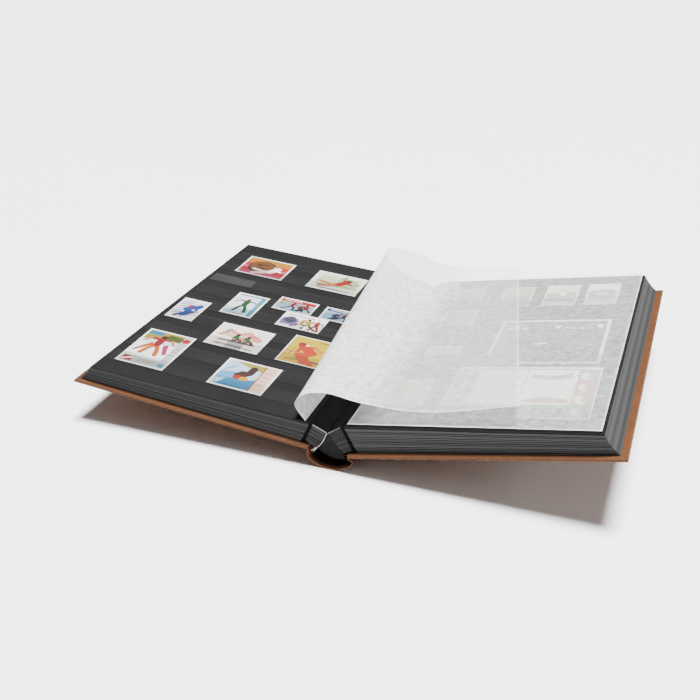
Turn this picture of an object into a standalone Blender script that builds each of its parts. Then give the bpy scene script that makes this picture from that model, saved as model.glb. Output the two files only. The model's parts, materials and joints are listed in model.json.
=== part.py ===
"""A4 stock book for postage stamps, standing open on its rounded spine.

The gutter (the fold where the two open pages meet) runs along Y at x = 0, with the
head of the book at +Y. The origin is on the flat underside of the spine, below the
gutter. Sections are drawn in millimetres from the gutter and placed in metres.
"""

import math

import bpy
from mathutils import Matrix, Vector

MM = 0.001

# Heights along Y.
BLOCK_HEIGHT = 297.0
COVER_HEIGHT = 305.0
INTERLEAF_HEIGHT = 295.0

# The gutter's height over the resting face.
GUTTER_RISE = 30.5

# Directions at rest, in degrees, as the rise towards +X.
LEFT_LEAF_SLOPE = -4.0
LEFT_GUARD_SLOPE = -22.0
LEFT_COVER_SLOPE = -5.55
RIGHT_LEAF_SLOPE = 10.25
RIGHT_GUARD_SLOPE = 34.5
RIGHT_COVER_SLOPE = 12.05

# The page block.
LEFT_GUARD_WIDTH = 13.05
RIGHT_GUARD_WIDTH = 12.3
LEFT_LEAF_WIDTH = 195.5
RIGHT_LEAF_WIDTH = 194.0
LEAF_THICKNESS = 1.0
LEAF_GAP = 0.2
LINEN_GAP = 3.0
LINEN_THICKNESS = 0.6
LINEN_REACH = 0.93
GUTTER_CLEARANCE = 0.35
LEFT_BLOCK_FOOT = (-10.16, -15.9)
LEFT_GUARD_FOOT = (-18.7, -11.7)
LEFT_STACK_FOOT = (-22.6, -12.3)
LEFT_FORE_FOOT = (-218.3, 6.7)
RIGHT_BLOCK_FOOT = (13.2, -16.4)
RIGHT_GUARD_FOOT = (20.2, -12.6)
RIGHT_STACK_FOOT = (24.1, -12.4)
RIGHT_FORE_FOOT = (213.3, 27.8)

# The hard covers, from the spine end of each outer face.
LEFT_COVER_END = (-16.0, -16.69)
RIGHT_COVER_END = (17.5, -17.77)
LEFT_COVER_WIDTH = 207.3
RIGHT_COVER_WIDTH = 206.2
LEATHERETTE = 0.5
LAMINATE_GAP = 0.15
BOARD_THICKNESS = 1.7
TURN_IN_THICKNESS = 0.4
TURN_IN_WIDTH = 13.0
ENDPAPER_THICKNESS = 0.2
ENDPAPER_INSET = 1.0
COVER_THICKNESS = LEATHERETTE + 2 * LAMINATE_GAP + BOARD_THICKNESS + TURN_IN_THICKNESS

# The hollow spine: the outer face from the left cover round to the right one.
SPINE_FACE = (
    (-15.7, -19.6),
    (-15.5, -22.8),
    (-14.2, -25.2),
    (-10.4, -27.6),
    (-6.2, -29.6),
    (-2.0, -30.5),
    (8.0, -30.5),
    (13.6, -28.5),
    (18.4, -25.6),
    (21.9, -22.9),
    (23.9, -19.9),
)
SPINE_THICKNESS = 0.9
SPINE_CARD_SPAN = (2, 9)
SPINE_CARD_THICKNESS = 0.7
SPINE_CARD_CLEARANCE = 0.2
SPINE_CARD_HEIGHT = COVER_HEIGHT - 4.0
SPINE_LINING = (
    (-8.2, -17.6),
    (-3.9, -20.2),
    (1.4, -22.3),
    (6.6, -23.1),
    (10.8, -22.9),
    (15.0, -21.6),
)
LINING_THICKNESS = 0.4
LINING_HEIGHT = BLOCK_HEIGHT - 2.0

# Pockets: each page has nine film strips, glued along their lower edges.
STRIP_COUNT = 9
FIRST_STRIP_FOOT = 41.5
STRIP_PITCH = 29.75
STRIP_HEIGHT = 17.5
STRIP_THICKNESS = 0.12
STRIP_MARGIN = 5.0
STRIP_HINGE_MARGIN = 6.5
POCKET_TILT = 1.0
LAYER_GAP = 0.12
STAMP_THICKNESS = 0.15
STAMP_RISE = 2.0

# Stamps: name, distance of the centre from the hinge, width, height, pocket from the head.
LEFT_STAMPS = (
    ("globe", 152.4, 50.6, 40.8, 1),
    ("gymnast", 75.2, 52.2, 41.0, 1),
    ("skater", 134.0, 31.5, 45.0, 4),
    ("ice_red", 91.2, 38.7, 26.0, 3),
    ("ice_blue", 44.8, 38.0, 25.5, 3),
    ("ball", 72.8, 42.4, 29.0, 4),
    ("skier", 175.9, 27.4, 40.5, 5),
    ("rowing", 109.4, 50.9, 41.0, 6),
    ("slalom", 42.0, 50.4, 48.0, 6),
    ("rider", 163.0, 44.4, 60.0, 8),
    ("swimmer", 76.6, 48.3, 44.0, 8),
)
RIGHT_STAMPS = (
    ("leaf", 36.5, 27.6, 45.0, 1),
    ("meadow", 83.0, 29.2, 45.5, 1),
    ("garden", 124.0, 31.0, 47.0, 1),
    ("pond", 160.9, 29.4, 48.0, 1),
    ("bark", 39.9, 31.2, 50.0, 3),
    ("lake", 43.9, 30.0, 33.0, 5),
    ("desert", 36.2, 35.1, 57.0, 8),
    ("forest_sheet", 130.2, 93.5, 83.0, 5),
    ("sports_block", 124.5, 113.6, 80.0, 8),
)

# The interleaf that lies flat, and the one caught part way over, as sections at tail and head.
FLAT_INTERLEAF_START = 5.7
FLAT_INTERLEAF_WIDTH = 186.5
FLAT_INTERLEAF_RISE = 2.0
INTERLEAF_THICKNESS = 0.15
CURL_THICKNESS = 0.3
CURL_TAIL = (
    (-18.6, 6.0),
    (-27.0, 18.2),
    (-19.0, 28.6),
    (0.0, 32.6),
    (28.0, 29.0),
    (74.0, 30.5),
    (137.0, 44.5),
)
CURL_HEAD = (
    (-19.0, 6.1),
    (-50.0, 25.0),
    (-44.0, 37.2),
    (-18.0, 34.0),
    (12.0, 26.5),
    (45.0, 27.0),
    (84.0, 34.0),
)
CURL_STEPS = 28
CURL_ROWS = 10

# The sewing thread along the fold, and its loose end down the back edge of the left guards at the tail.
THREAD_RADIUS = 0.35
THREAD_DROP = 1.5
THREAD_STAND_OFF = 0.75
THREAD_TAIL = (
    (-0.6, -0.9),
    (-1.6, -3.6),
    (-3.4, -7.6),
    (-6.0, -11.8),
    (-8.3, -14.6),
    (-10.4, -16.6),
)

# Cutting tools run this far past what they cut, and start this far inside a space already cut.
CUTTER_SPARE = 1.0
CUTTER_OVERLAP = 0.1

# Plain shades that tell neighbouring stamps apart.
FIRST_SHADE = 0.45
SHADE_STEP = 0.05
SHADE_COUNT = 5


def at(point, y=0.0):
    """World position of a point given in millimetres from the gutter, in the XZ section."""
    return Vector((point[0] * MM, y * MM, (point[1] + GUTTER_RISE) * MM))


def step(point, slope, distance):
    """The point at a distance from another, along a slope in degrees."""
    angle = math.radians(slope)
    return (point[0] + distance * math.cos(angle), point[1] + distance * math.sin(angle))


def between(first, second, share):
    return tuple(a + (b - a) * share for a, b in zip(first, second))


GUTTER = (0.0, 0.0)
LEFT_HINGE = step(GUTTER, LEFT_GUARD_SLOPE, -LEFT_GUARD_WIDTH)
RIGHT_HINGE = step(GUTTER, RIGHT_GUARD_SLOPE, RIGHT_GUARD_WIDTH)


def clear_scene():
    for old in list(bpy.data.objects):
        bpy.data.objects.remove(old, do_unlink=True)
    for old in list(bpy.data.collections):
        bpy.data.collections.remove(old)


def new_collection(name):
    made = bpy.data.collections.new(name)
    bpy.context.scene.collection.children.link(made)
    return made


def paint(thing, colour, roughness):
    """Gives an object its own plain material."""
    made = bpy.data.materials.new(thing.name)
    made.use_nodes = True
    shader = made.node_tree.nodes["Principled BSDF"]
    shader.inputs["Base Color"].default_value = (*colour, 1.0)
    shader.inputs["Roughness"].default_value = roughness
    shader.inputs["Metallic"].default_value = 0.0
    thing.data.materials.append(made)


BLACK_CARD = (0.045, 0.045, 0.047)
BLACK_LINEN = (0.02, 0.02, 0.02)
COGNAC = (0.48, 0.17, 0.055)
GREY_BOARD = (0.30, 0.27, 0.24)
FILM = (0.16, 0.16, 0.17)
GLASSINE = (0.86, 0.86, 0.85)
THREAD_WHITE = (0.85, 0.85, 0.82)


def prism(parts, name, outline, height, colour, roughness=0.7, y=0.0):
    """A section outline in the XZ plane, run along Y to the given height."""
    curve = bpy.data.curves.new(name, "CURVE")
    curve.dimensions = "2D"
    curve.fill_mode = "BOTH"
    curve.extrude = height / 2 * MM
    line = curve.splines.new("POLY")
    line.points.add(len(outline) - 1)
    for spot, point in zip(line.points, outline):
        spot.co = (*at(point).xz, 0.0, 1.0)
    line.use_cyclic_u = True
    made = bpy.data.objects.new(name, curve)
    made.matrix_world = Matrix.Translation((0, y * MM, 0)) @ Matrix.Rotation(math.radians(90), 4, "X")
    parts.objects.link(made)
    paint(made, colour, roughness)
    return made


def plate(parts, name, low, high, frame, colour, roughness=0.6):
    """A box from its low to its high corner, in millimetres of the given frame."""
    bpy.ops.mesh.primitive_cube_add(size=1.0)
    made = bpy.context.object
    for holder in list(made.users_collection):
        holder.objects.unlink(made)
    parts.objects.link(made)
    made.name = name
    size = [(b - a) * MM for a, b in zip(low, high)]
    made.data.transform(Matrix.Diagonal((*size, 1.0)))
    centre = Vector([(a + b) / 2 * MM for a, b in zip(low, high)])
    made.matrix_world = frame @ Matrix.Translation(centre)
    if colour:
        paint(made, colour, roughness)
    return made


def frame_at(point, slope):
    """A frame on the section, X along the slope, Y to the head and Z out of the page."""
    return Matrix.Translation(at(point)) @ Matrix.Rotation(-math.radians(slope), 4, "Y")


def ribbon(path, thickness):
    """A closed outline round an open path, with the thickness on the path's left side."""
    inner = []
    for i, point in enumerate(path):
        before = path[max(i - 1, 0)]
        after = path[min(i + 1, len(path) - 1)]
        dx, dz = after[0] - before[0], after[1] - before[1]
        length = math.hypot(dx, dz)
        inner.append((point[0] - dz / length * thickness, point[1] + dx / length * thickness))
    return list(path) + inner[::-1]


def cut(target, tool):
    cutter = target.modifiers.new(tool.name, "BOOLEAN")
    cutter.operation = "DIFFERENCE"
    cutter.object = tool
    tool.hide_render = True
    tool.display_type = "WIRE"


def make_cover(parts, cutters, side, end, slope, width, sign):
    """One hard cover: the leatherette wrapped round the board, the board, and the endpaper."""
    frame = frame_at(end, slope)
    half = COVER_HEIGHT / 2

    def span(first, last):
        return sorted((sign * first, sign * last))

    near, far = span(0.0, width)
    low, high = (near, -half, 0.0), (far, half, COVER_THICKNESS)
    skin = plate(parts, side + "_leatherette", low, high, frame, COGNAC, 0.45)
    board_low = LEATHERETTE + LAMINATE_GAP
    board_high = board_low + BOARD_THICKNESS
    board_far = width - LEATHERETTE - LAMINATE_GAP
    board_half = half - LEATHERETTE - LAMINATE_GAP
    roof = board_high + LAMINATE_GAP
    near, far = span(-CUTTER_SPARE, width - LEATHERETTE)
    pocket = plate(
        cutters,
        side + "_board_space",
        (near, -half + LEATHERETTE, LEATHERETTE),
        (far, half - LEATHERETTE, roof),
        frame,
        None,
    )
    near, far = span(-CUTTER_SPARE, width - TURN_IN_WIDTH)
    window_half = half - TURN_IN_WIDTH
    window = plate(
        cutters,
        side + "_turn_in_window",
        (near, -window_half, roof - CUTTER_OVERLAP),
        (far, window_half, COVER_THICKNESS + CUTTER_SPARE),
        frame,
        None,
    )
    cut(skin, pocket)
    cut(skin, window)
    near, far = span(0.0, board_far)
    low, high = (near, -board_half, board_low), (far, board_half, board_high)
    plate(parts, side + "_board", low, high, frame, GREY_BOARD, 0.9)
    near, far = span(ENDPAPER_INSET, width - TURN_IN_WIDTH - LAMINATE_GAP)
    paper_half = window_half - LAMINATE_GAP
    plate(
        parts,
        side + "_endpaper",
        (near, -paper_half, roof),
        (far, paper_half, roof + ENDPAPER_THICKNESS),
        frame,
        BLACK_CARD,
    )


def make_spine(parts):
    prism(parts, "spine_leatherette", ribbon(SPINE_FACE, SPINE_THICKNESS), COVER_HEIGHT, COGNAC, 0.45)
    first, last = SPINE_CARD_SPAN
    lift = SPINE_THICKNESS + SPINE_CARD_CLEARANCE
    inside = ribbon(SPINE_FACE, lift)[len(SPINE_FACE):][::-1]
    card = ribbon(inside[first:last], SPINE_CARD_THICKNESS)
    prism(parts, "spine_card", card, SPINE_CARD_HEIGHT, GREY_BOARD)
    prism(parts, "back_lining", ribbon(SPINE_LINING, LINING_THICKNESS), LINING_HEIGHT, BLACK_LINEN)


def make_guards(parts):
    """The linen-hinged stubs that the leaves hang on, one block on each side of the gutter."""
    left = [
        (-GUTTER_CLEARANCE, 0.0),
        LEFT_HINGE,
        LEFT_GUARD_FOOT,
        (LEFT_BLOCK_FOOT[0] - GUTTER_CLEARANCE, LEFT_BLOCK_FOOT[1]),
    ]
    right = [
        (GUTTER_CLEARANCE, 0.0),
        (RIGHT_BLOCK_FOOT[0] + GUTTER_CLEARANCE, RIGHT_BLOCK_FOOT[1]),
        RIGHT_GUARD_FOOT,
        RIGHT_HINGE,
    ]
    prism(parts, "left_guards", left, BLOCK_HEIGHT, BLACK_CARD)
    prism(parts, "right_guards", right, BLOCK_HEIGHT, BLACK_CARD)
    for side, hinge, guard_foot, stack_foot, slope, sign in (
        ("left", LEFT_HINGE, LEFT_GUARD_FOOT, LEFT_STACK_FOOT, LEFT_LEAF_SLOPE, -1),
        ("right", RIGHT_HINGE, RIGHT_GUARD_FOOT, RIGHT_STACK_FOOT, RIGHT_LEAF_SLOPE, 1),
    ):
        middle = step(hinge, slope, sign * LINEN_GAP / 2)
        top = (middle[0], middle[1] - LEAF_GAP)
        foot = between(guard_foot, stack_foot, 0.5)
        foot = between(top, foot, LINEN_REACH)
        half = LINEN_THICKNESS / 2
        outline = [
            (top[0] - half, top[1]),
            (foot[0] - half, foot[1]),
            (foot[0] + half, foot[1]),
            (top[0] + half, top[1]),
        ]
        prism(parts, side + "_linen_hinge", outline, BLOCK_HEIGHT, BLACK_LINEN)


def make_leaves(parts, side, hinge, slope, width, stack_foot, fore_foot, sign):
    """The top leaf of one side, and the stack of leaves below it."""
    frame = frame_at(hinge, slope)
    near, far = sorted((sign * LINEN_GAP, sign * width))
    half = BLOCK_HEIGHT / 2
    plate(parts, side + "_top_leaf", (near, -half, -LEAF_THICKNESS), (far, half, 0.0), frame, BLACK_CARD)
    depth = LEAF_THICKNESS + LEAF_GAP
    inner = step(step(hinge, slope, sign * LINEN_GAP), slope - 90, depth)
    corner = step(hinge, slope, sign * width)
    fore = step(corner, slope - 90, depth)
    share = depth / abs(corner[1] - fore_foot[1])
    fore = (between(corner, fore_foot, share)[0], fore[1])
    prism(parts, side + "_leaf_stack", [inner, fore, fore_foot, stack_foot], BLOCK_HEIGHT, BLACK_CARD)


def strip_foot(index):
    """Y of a strip's glued lower edge, in millimetres from the middle of the page."""
    return BLOCK_HEIGHT / 2 - FIRST_STRIP_FOOT - STRIP_PITCH * index


def pocket_frame(hinge, slope, index):
    """A frame on the page at the foot of a strip, tipped so that what it holds clears the strip above."""
    page = frame_at(hinge, slope)
    foot = Matrix.Translation((0, strip_foot(index) * MM, LAYER_GAP * MM))
    return page @ foot @ Matrix.Rotation(math.radians(POCKET_TILT), 4, "X")


def make_pockets(parts, side, hinge, slope, width, sign):
    near, far = sorted((sign * (LINEN_GAP + STRIP_HINGE_MARGIN), sign * (width - STRIP_MARGIN)))
    low = STAMP_THICKNESS + LAYER_GAP
    for index in range(STRIP_COUNT):
        plate(
            parts,
            f"{side}_strip_{index + 1}",
            (near, 0.0, low),
            (far, STRIP_HEIGHT, low + STRIP_THICKNESS),
            pocket_frame(hinge, slope, index),
            FILM,
            0.25,
        )


def make_stamps(parts, side, hinge, slope, stamps, sign):
    for number, (name, distance, width, height, pocket) in enumerate(stamps):
        shade = FIRST_SHADE + SHADE_STEP * (number % SHADE_COUNT)
        plate(
            parts,
            f"{side}_stamp_{name}",
            (sign * distance - width / 2, STAMP_RISE, 0.0),
            (sign * distance + width / 2, STAMP_RISE + height, STAMP_THICKNESS),
            pocket_frame(hinge, slope, pocket),
            (shade, 0.55, 2 * FIRST_SHADE - shade),
            0.5,
        )


def smooth_point(points, share):
    """A point on the Catmull-Rom curve through the given points."""
    spot = share * (len(points) - 1)
    i = min(int(spot), len(points) - 2)
    t = spot - i
    a, b, c, d = (points[min(max(i + k, 0), len(points) - 1)] for k in (-1, 0, 1, 2))
    return tuple(
        0.5 * (2 * q + (r - p) * t + (2 * p - 5 * q + 4 * r - s) * t**2 + (3 * q - p - 3 * r + s) * t**3)
        for p, q, r, s in zip(a, b, c, d)
    )


def make_interleaves(parts):
    page = frame_at(RIGHT_HINGE, RIGHT_LEAF_SLOPE)
    half = INTERLEAF_HEIGHT / 2
    plate(
        parts,
        "interleaf_flat",
        (FLAT_INTERLEAF_START, -half, FLAT_INTERLEAF_RISE),
        (FLAT_INTERLEAF_START + FLAT_INTERLEAF_WIDTH, half, FLAT_INTERLEAF_RISE + INTERLEAF_THICKNESS),
        page,
        GLASSINE,
        0.35,
    )
    points = []
    for row in range(CURL_ROWS + 1):
        along = row / CURL_ROWS
        section = [between(a, b, along) for a, b in zip(CURL_TAIL, CURL_HEAD)]
        y = (along - 0.5) * INTERLEAF_HEIGHT
        points += [at(smooth_point(section, i / CURL_STEPS), y) for i in range(CURL_STEPS + 1)]
    wide = CURL_STEPS + 1
    faces = []
    for row in range(CURL_ROWS):
        for i in range(CURL_STEPS):
            corner = row * wide + i
            faces.append((corner, corner + 1, corner + wide + 1, corner + wide))
    mesh = bpy.data.meshes.new("interleaf_turned")
    mesh.from_pydata(points, [], faces)
    made = bpy.data.objects.new("interleaf_turned", mesh)
    parts.objects.link(made)
    mesh.shade_smooth()
    paint(made, GLASSINE, 0.35)
    shell = made.modifiers.new("thickness", "SOLIDIFY")
    shell.thickness = CURL_THICKNESS * MM
    shell.offset = 0.0


def make_thread(parts, name, points):
    curve = bpy.data.curves.new(name, "CURVE")
    curve.dimensions = "3D"
    curve.bevel_depth = THREAD_RADIUS * MM
    curve.bevel_resolution = 2
    curve.use_fill_caps = True
    line = curve.splines.new("POLY")
    line.points.add(len(points) - 1)
    for spot, point in zip(line.points, points):
        spot.co = (*point, 1.0)
    made = bpy.data.objects.new(name, curve)
    parts.objects.link(made)
    paint(made, THREAD_WHITE, 0.8)


def hang_on(joint_point, name, parts, names):
    """Parents the named pieces to an empty on their joint's axis, leaving them where they are."""
    pivot = bpy.data.objects.new(name, None)
    pivot.location = at(joint_point)
    parts.objects.link(pivot)
    bpy.context.view_layer.update()
    for piece in names:
        thing = bpy.data.objects[piece]
        world = thing.matrix_world.copy()
        thing.parent = pivot
        thing.matrix_parent_inverse = pivot.matrix_world.inverted()
        thing.matrix_world = world


def main():
    clear_scene()
    parts = new_collection("stamp_album")
    cutters = new_collection("cutters")
    make_spine(parts)
    make_cover(parts, cutters, "front", LEFT_COVER_END, LEFT_COVER_SLOPE, LEFT_COVER_WIDTH, -1)
    make_cover(parts, cutters, "back", RIGHT_COVER_END, RIGHT_COVER_SLOPE, RIGHT_COVER_WIDTH, 1)
    make_guards(parts)
    left = ("left", LEFT_HINGE, LEFT_LEAF_SLOPE, LEFT_LEAF_WIDTH)
    right = ("right", RIGHT_HINGE, RIGHT_LEAF_SLOPE, RIGHT_LEAF_WIDTH)
    make_leaves(parts, *left, LEFT_STACK_FOOT, LEFT_FORE_FOOT, -1)
    make_leaves(parts, *right, RIGHT_STACK_FOOT, RIGHT_FORE_FOOT, 1)
    make_pockets(parts, *left, -1)
    make_pockets(parts, *right, 1)
    make_stamps(parts, "left", LEFT_HINGE, LEFT_LEAF_SLOPE, LEFT_STAMPS, -1)
    make_stamps(parts, "right", RIGHT_HINGE, RIGHT_LEAF_SLOPE, RIGHT_STAMPS, 1)
    make_interleaves(parts)
    half = BLOCK_HEIGHT / 2
    make_thread(parts, "binding_thread", [at((0.0, -THREAD_DROP), y) for y in (-half, half)])
    make_thread(parts, "thread_tail", [at(point, -half - THREAD_STAND_OFF) for point in THREAD_TAIL])
    left_pieces = ["front_leatherette", "front_board", "front_endpaper", "left_leaf_stack", "left_top_leaf"]
    left_pieces += [f"left_strip_{i + 1}" for i in range(STRIP_COUNT)]
    right_pieces = ["back_leatherette", "back_board", "back_endpaper", "right_leaf_stack", "right_top_leaf"]
    hang_on(GUTTER, "gutter_line", parts, ["left_guards", "right_guards", "interleaf_turned"])
    hang_on(LEFT_HINGE, "left_hinge_line", parts, left_pieces)
    hang_on(RIGHT_HINGE, "right_hinge_line", parts, right_pieces)
    bpy.context.view_layer.update()


main()
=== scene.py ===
"""The open stamp album: its surfaces, single leaves, printed stamps and glassine, round the CAD frame.

Sections are drawn in millimetres from the gutter, the fold where the two open pages meet.
"""

import math
import random

import bmesh
import bpy
from mathutils import Matrix, Vector, geometry, noise
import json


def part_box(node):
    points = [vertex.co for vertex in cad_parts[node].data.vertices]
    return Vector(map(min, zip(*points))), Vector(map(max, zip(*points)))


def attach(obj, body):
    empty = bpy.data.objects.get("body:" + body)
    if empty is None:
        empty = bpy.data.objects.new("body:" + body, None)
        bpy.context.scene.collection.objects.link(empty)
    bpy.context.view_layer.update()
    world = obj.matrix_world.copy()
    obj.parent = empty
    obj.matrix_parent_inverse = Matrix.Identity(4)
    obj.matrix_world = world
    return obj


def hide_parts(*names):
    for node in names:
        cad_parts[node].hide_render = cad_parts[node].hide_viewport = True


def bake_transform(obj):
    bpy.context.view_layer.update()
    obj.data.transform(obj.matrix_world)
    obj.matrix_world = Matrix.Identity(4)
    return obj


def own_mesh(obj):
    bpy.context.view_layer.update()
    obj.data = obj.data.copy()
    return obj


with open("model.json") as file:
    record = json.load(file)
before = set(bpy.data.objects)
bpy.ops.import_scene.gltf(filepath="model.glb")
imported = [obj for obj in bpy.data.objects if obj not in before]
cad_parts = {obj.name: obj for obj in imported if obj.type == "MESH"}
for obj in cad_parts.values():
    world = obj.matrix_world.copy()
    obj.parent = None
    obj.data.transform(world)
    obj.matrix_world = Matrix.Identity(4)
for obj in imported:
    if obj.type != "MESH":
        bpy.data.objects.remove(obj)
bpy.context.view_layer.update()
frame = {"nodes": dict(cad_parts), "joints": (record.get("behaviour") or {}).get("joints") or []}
random.seed(7)

MM = 0.001
JOINTS = {joint["name"]: joint for joint in frame["joints"]}
GUTTER = Vector(JOINTS["cover_fold"]["pos_m"])
LEFT_HINGE = Vector(JOINTS["left_leaf_turn"]["pos_m"])
RIGHT_HINGE = Vector(JOINTS["back_half_fold"]["pos_m"])

# Slopes of the open halves, in degrees, as the rise towards +X.
LEFT_LEAF_SLOPE = -4.0
RIGHT_LEAF_SLOPE = 10.25
LEFT_COVER_SLOPE = -5.55
RIGHT_COVER_SLOPE = 12.05
POCKET_TILT = 1.0

# The page block, in millimetres.
LEAVES_BELOW = 15
STACK_SLOTS = LEAVES_BELOW + 0.35
FIRST_SLOT = 1.15
FORE_EDGE_HOLLOW = 1.1
GUARD_THICK = 0.8
TOP_GUARD_THICK = 0.3
PAPER_DROP = 0.34
LINEN_GAP = 3.0
LINEN_THICK = 0.62
LINEN_TUCK = 0.4
STRIP_PITCH = 29.75
FIRST_STRIP_FOOT = 107.0
LEFT_BLOCK_FOOT = (-10.16, -15.9)
LEFT_GUARD_FOOT = (-18.7, -11.7)
LEFT_STACK_FOOT = (-22.6, -12.3)
LEFT_FORE_FOOT = (-218.3, 6.7)
RIGHT_BLOCK_FOOT = (13.2, -16.4)
RIGHT_GUARD_FOOT = (20.2, -12.6)
RIGHT_STACK_FOOT = (24.1, -12.4)
RIGHT_FORE_FOOT = (213.3, 27.8)

# The outer face of the spine, from the right cover's end round to the left one's.
SPINE_FACE = (
    (21.7, -20.3),
    (21.5, -21.7),
    (20.2, -23.7),
    (17.2, -26.2),
    (13.0, -28.6),
    (8.0, -30.4),
    (-2.0, -30.4),
    (-6.2, -29.6),
    (-10.4, -27.7),
    (-13.9, -25.4),
    (-15.2, -23.2),
    (-15.7, -20.4),
)
RIGHT_LIP = ((17.6, -17.75), (19.2, -18.0), (20.7, -18.7), (21.7, -20.25))
LEFT_LIP = ((-15.7, -20.35), (-15.9, -18.8), (-16.1, -17.0))
RIGHT_CLOTH = ((17.3, -17.95), (10.0, -19.5), (2.0, -21.1))
LEFT_CLOTH = ((-3.0, -17.5), (-9.0, -16.95), (-15.9, -16.35))
SPINE_WALL = 0.85
CLOTH_THICK = 0.2
CLOTH_INSET = 6.0
LINING_FACE = ((-8.2, -17.6), (-3.9, -20.2), (1.4, -22.3), (6.6, -23.1), (10.8, -22.9), (15.0, -21.6))
LINING_THICK = 0.4
PADDING_LEFT = ((-0.6, -1.8), (-9.4, -17.0))
PADDING_RIGHT = ((0.6, -1.8), (12.2, -17.6))

# The interleaf caught part way over, as sections at the tail and at the head.
CURL_TAIL = (
    (-18.6, 6.0),
    (-27.0, 18.2),
    (-19.0, 28.6),
    (0.0, 32.6),
    (28.0, 29.0),
    (74.0, 30.5),
    (141.0, 48.5),
)
CURL_HEAD = (
    (-19.0, 6.1),
    (-50.0, 25.0),
    (-44.0, 37.2),
    (-18.0, 34.0),
    (12.0, 26.5),
    (45.0, 27.0),
    (84.0, 34.0),
)
FLAT_SHEET_THICK = 0.08
FLAT_RIPPLE = 0.05
TURNED_SHEET_THICK = 0.1
TURNED_RIPPLE = 0.5
TURNED_NARROWING = 0.034

# The sewing thread: its run in the fold, and the end that hangs over the tail of the stubs.
SEAM_DROP = -1.5
THREAD_STAND_OFF = 0.75
KNOT = (-9.9, -15.9)
KNOT_RADIUS = 0.7
KNOT_EXIT = (-10.2, -16.3)
THREAD_ENDS = {"thread_end_long": (-13.2, -18.4), "thread_end_short": (-11.3, -18.9)}
THREAD_TAIL = (
    (-0.6, -0.9),
    (-1.6, -3.6),
    (-3.4, -7.6),
    (-6.0, -11.8),
    (-8.3, -14.6),
    (-10.4, -16.6),
)


# ---------------------------------------------------------------- geometry helpers


def at(point, y=0.0):
    """World position of a section point, y millimetres up the book."""
    return Vector((point[0] * MM, y * MM, point[1] * MM + GUTTER.z))


def section(world):
    """A world position as a section point."""
    return (world.x / MM, (world.z - GUTTER.z) / MM)


def between(first, second, share):
    """A point, or a colour, that share of the way from the first to the second."""
    return tuple(a + (b - a) * share for a, b in zip(first, second))


def step(point, slope, distance):
    """The section point at a distance along a slope in degrees."""
    angle = math.radians(slope)
    return (point[0] + distance * math.cos(angle), point[1] + distance * math.sin(angle))


def smooth_point(points, share):
    """A point on the Catmull-Rom curve through the given points."""
    spot = share * (len(points) - 1)
    i = min(int(spot), len(points) - 2)
    t = spot - i
    a, b, c, d = (points[min(max(i + k, 0), len(points) - 1)] for k in (-1, 0, 1, 2))
    return tuple(
        0.5 * (2 * q + (r - p) * t + (2 * p - 5 * q + 4 * r - s) * t**2 + (3 * q - p - 3 * r + s) * t**3)
        for p, q, r, s in zip(a, b, c, d)
    )


def smooth_path(points, steps):
    """The Catmull-Rom curve through the given points, in equal shares."""
    return [smooth_point(points, i / steps) for i in range(steps + 1)]


def beside(path, distance):
    """The path moved sideways, to the right of its own direction."""
    moved = []
    for i, point in enumerate(path):
        before = path[max(i - 1, 0)]
        after = path[min(i + 1, len(path) - 1)]
        dx, dz = after[0] - before[0], after[1] - before[1]
        length = math.hypot(dx, dz)
        moved.append((point[0] + dz / length * distance, point[1] - dx / length * distance))
    return moved


def turned(slope, tilt=0.0):
    """Rotation of a plate on a page: the slope about Y, then the pocket's tilt about X."""
    return Matrix.Rotation(-math.radians(slope), 4, "Y") @ Matrix.Rotation(math.radians(tilt), 4, "X")


def plate_of(node, slope, tilt=0.0):
    """Frame at the centre of a CAD plate, and its size in millimetres along that frame."""
    turn = turned(slope, tilt)
    inverse = turn.inverted()
    points = [inverse @ v.co for v in frame["nodes"][node].data.vertices]
    low = Vector([min(p[i] for p in points) for i in range(3)])
    high = Vector([max(p[i] for p in points) for i in range(3)])
    return turn @ Matrix.Translation((low + high) / 2), (high - low) / MM


def half_length(node):
    """Half of a CAD node's length up the book, in millimetres."""
    low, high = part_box(node)
    return (high.y - low.y) / 2 / MM


def linked(name, data):
    """A new object in the scene, for a mesh, a curve, a lamp or a camera."""
    made = bpy.data.objects.new(name, data)
    bpy.context.scene.collection.objects.link(made)
    return made


def new_piece(name, points, faces, material, sharp=35.0):
    """A mesh piece with outward faces, smooth but for the edges sharper than the given angle."""
    mesh = bpy.data.meshes.new(name)
    mesh.from_pydata(points, [], faces)
    work = bmesh.new()
    work.from_mesh(mesh)
    bmesh.ops.recalc_face_normals(work, faces=work.faces)
    work.to_mesh(mesh)
    work.free()
    mesh.shade_smooth()
    mesh.set_sharp_from_angle(angle=math.radians(sharp))
    mesh.materials.append(material)
    return linked(name, mesh)


def slab_mesh(top, under):
    """Points and faces of a closed sheet between two grids of points with the same rows."""
    rows, columns = len(top), len(top[0])
    points = [p for row in top for p in row] + [p for row in under for p in row]
    lower = rows * columns
    faces = []
    for r in range(rows - 1):
        for c in range(columns - 1):
            a = r * columns + c
            b = a + columns
            faces.append((a, a + 1, b + 1, b))
            faces.append((a + lower, b + lower, b + 1 + lower, a + 1 + lower))
    rim = list(range(columns))
    rim += [r * columns + columns - 1 for r in range(1, rows)]
    rim += [(rows - 1) * columns + c for c in range(columns - 2, -1, -1)]
    rim += [r * columns for r in range(rows - 2, 0, -1)]
    for a, b in zip(rim, rim[1:] + rim[:1]):
        faces.append((b, a, a + lower, b + lower))
    return points, faces


def joined(parts):
    """Several (points, faces) pairs as one."""
    points, faces = [], []
    for more_points, more_faces in parts:
        start = len(points)
        points += more_points
        faces += [tuple(i + start for i in face) for face in more_faces]
    return points, faces


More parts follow.
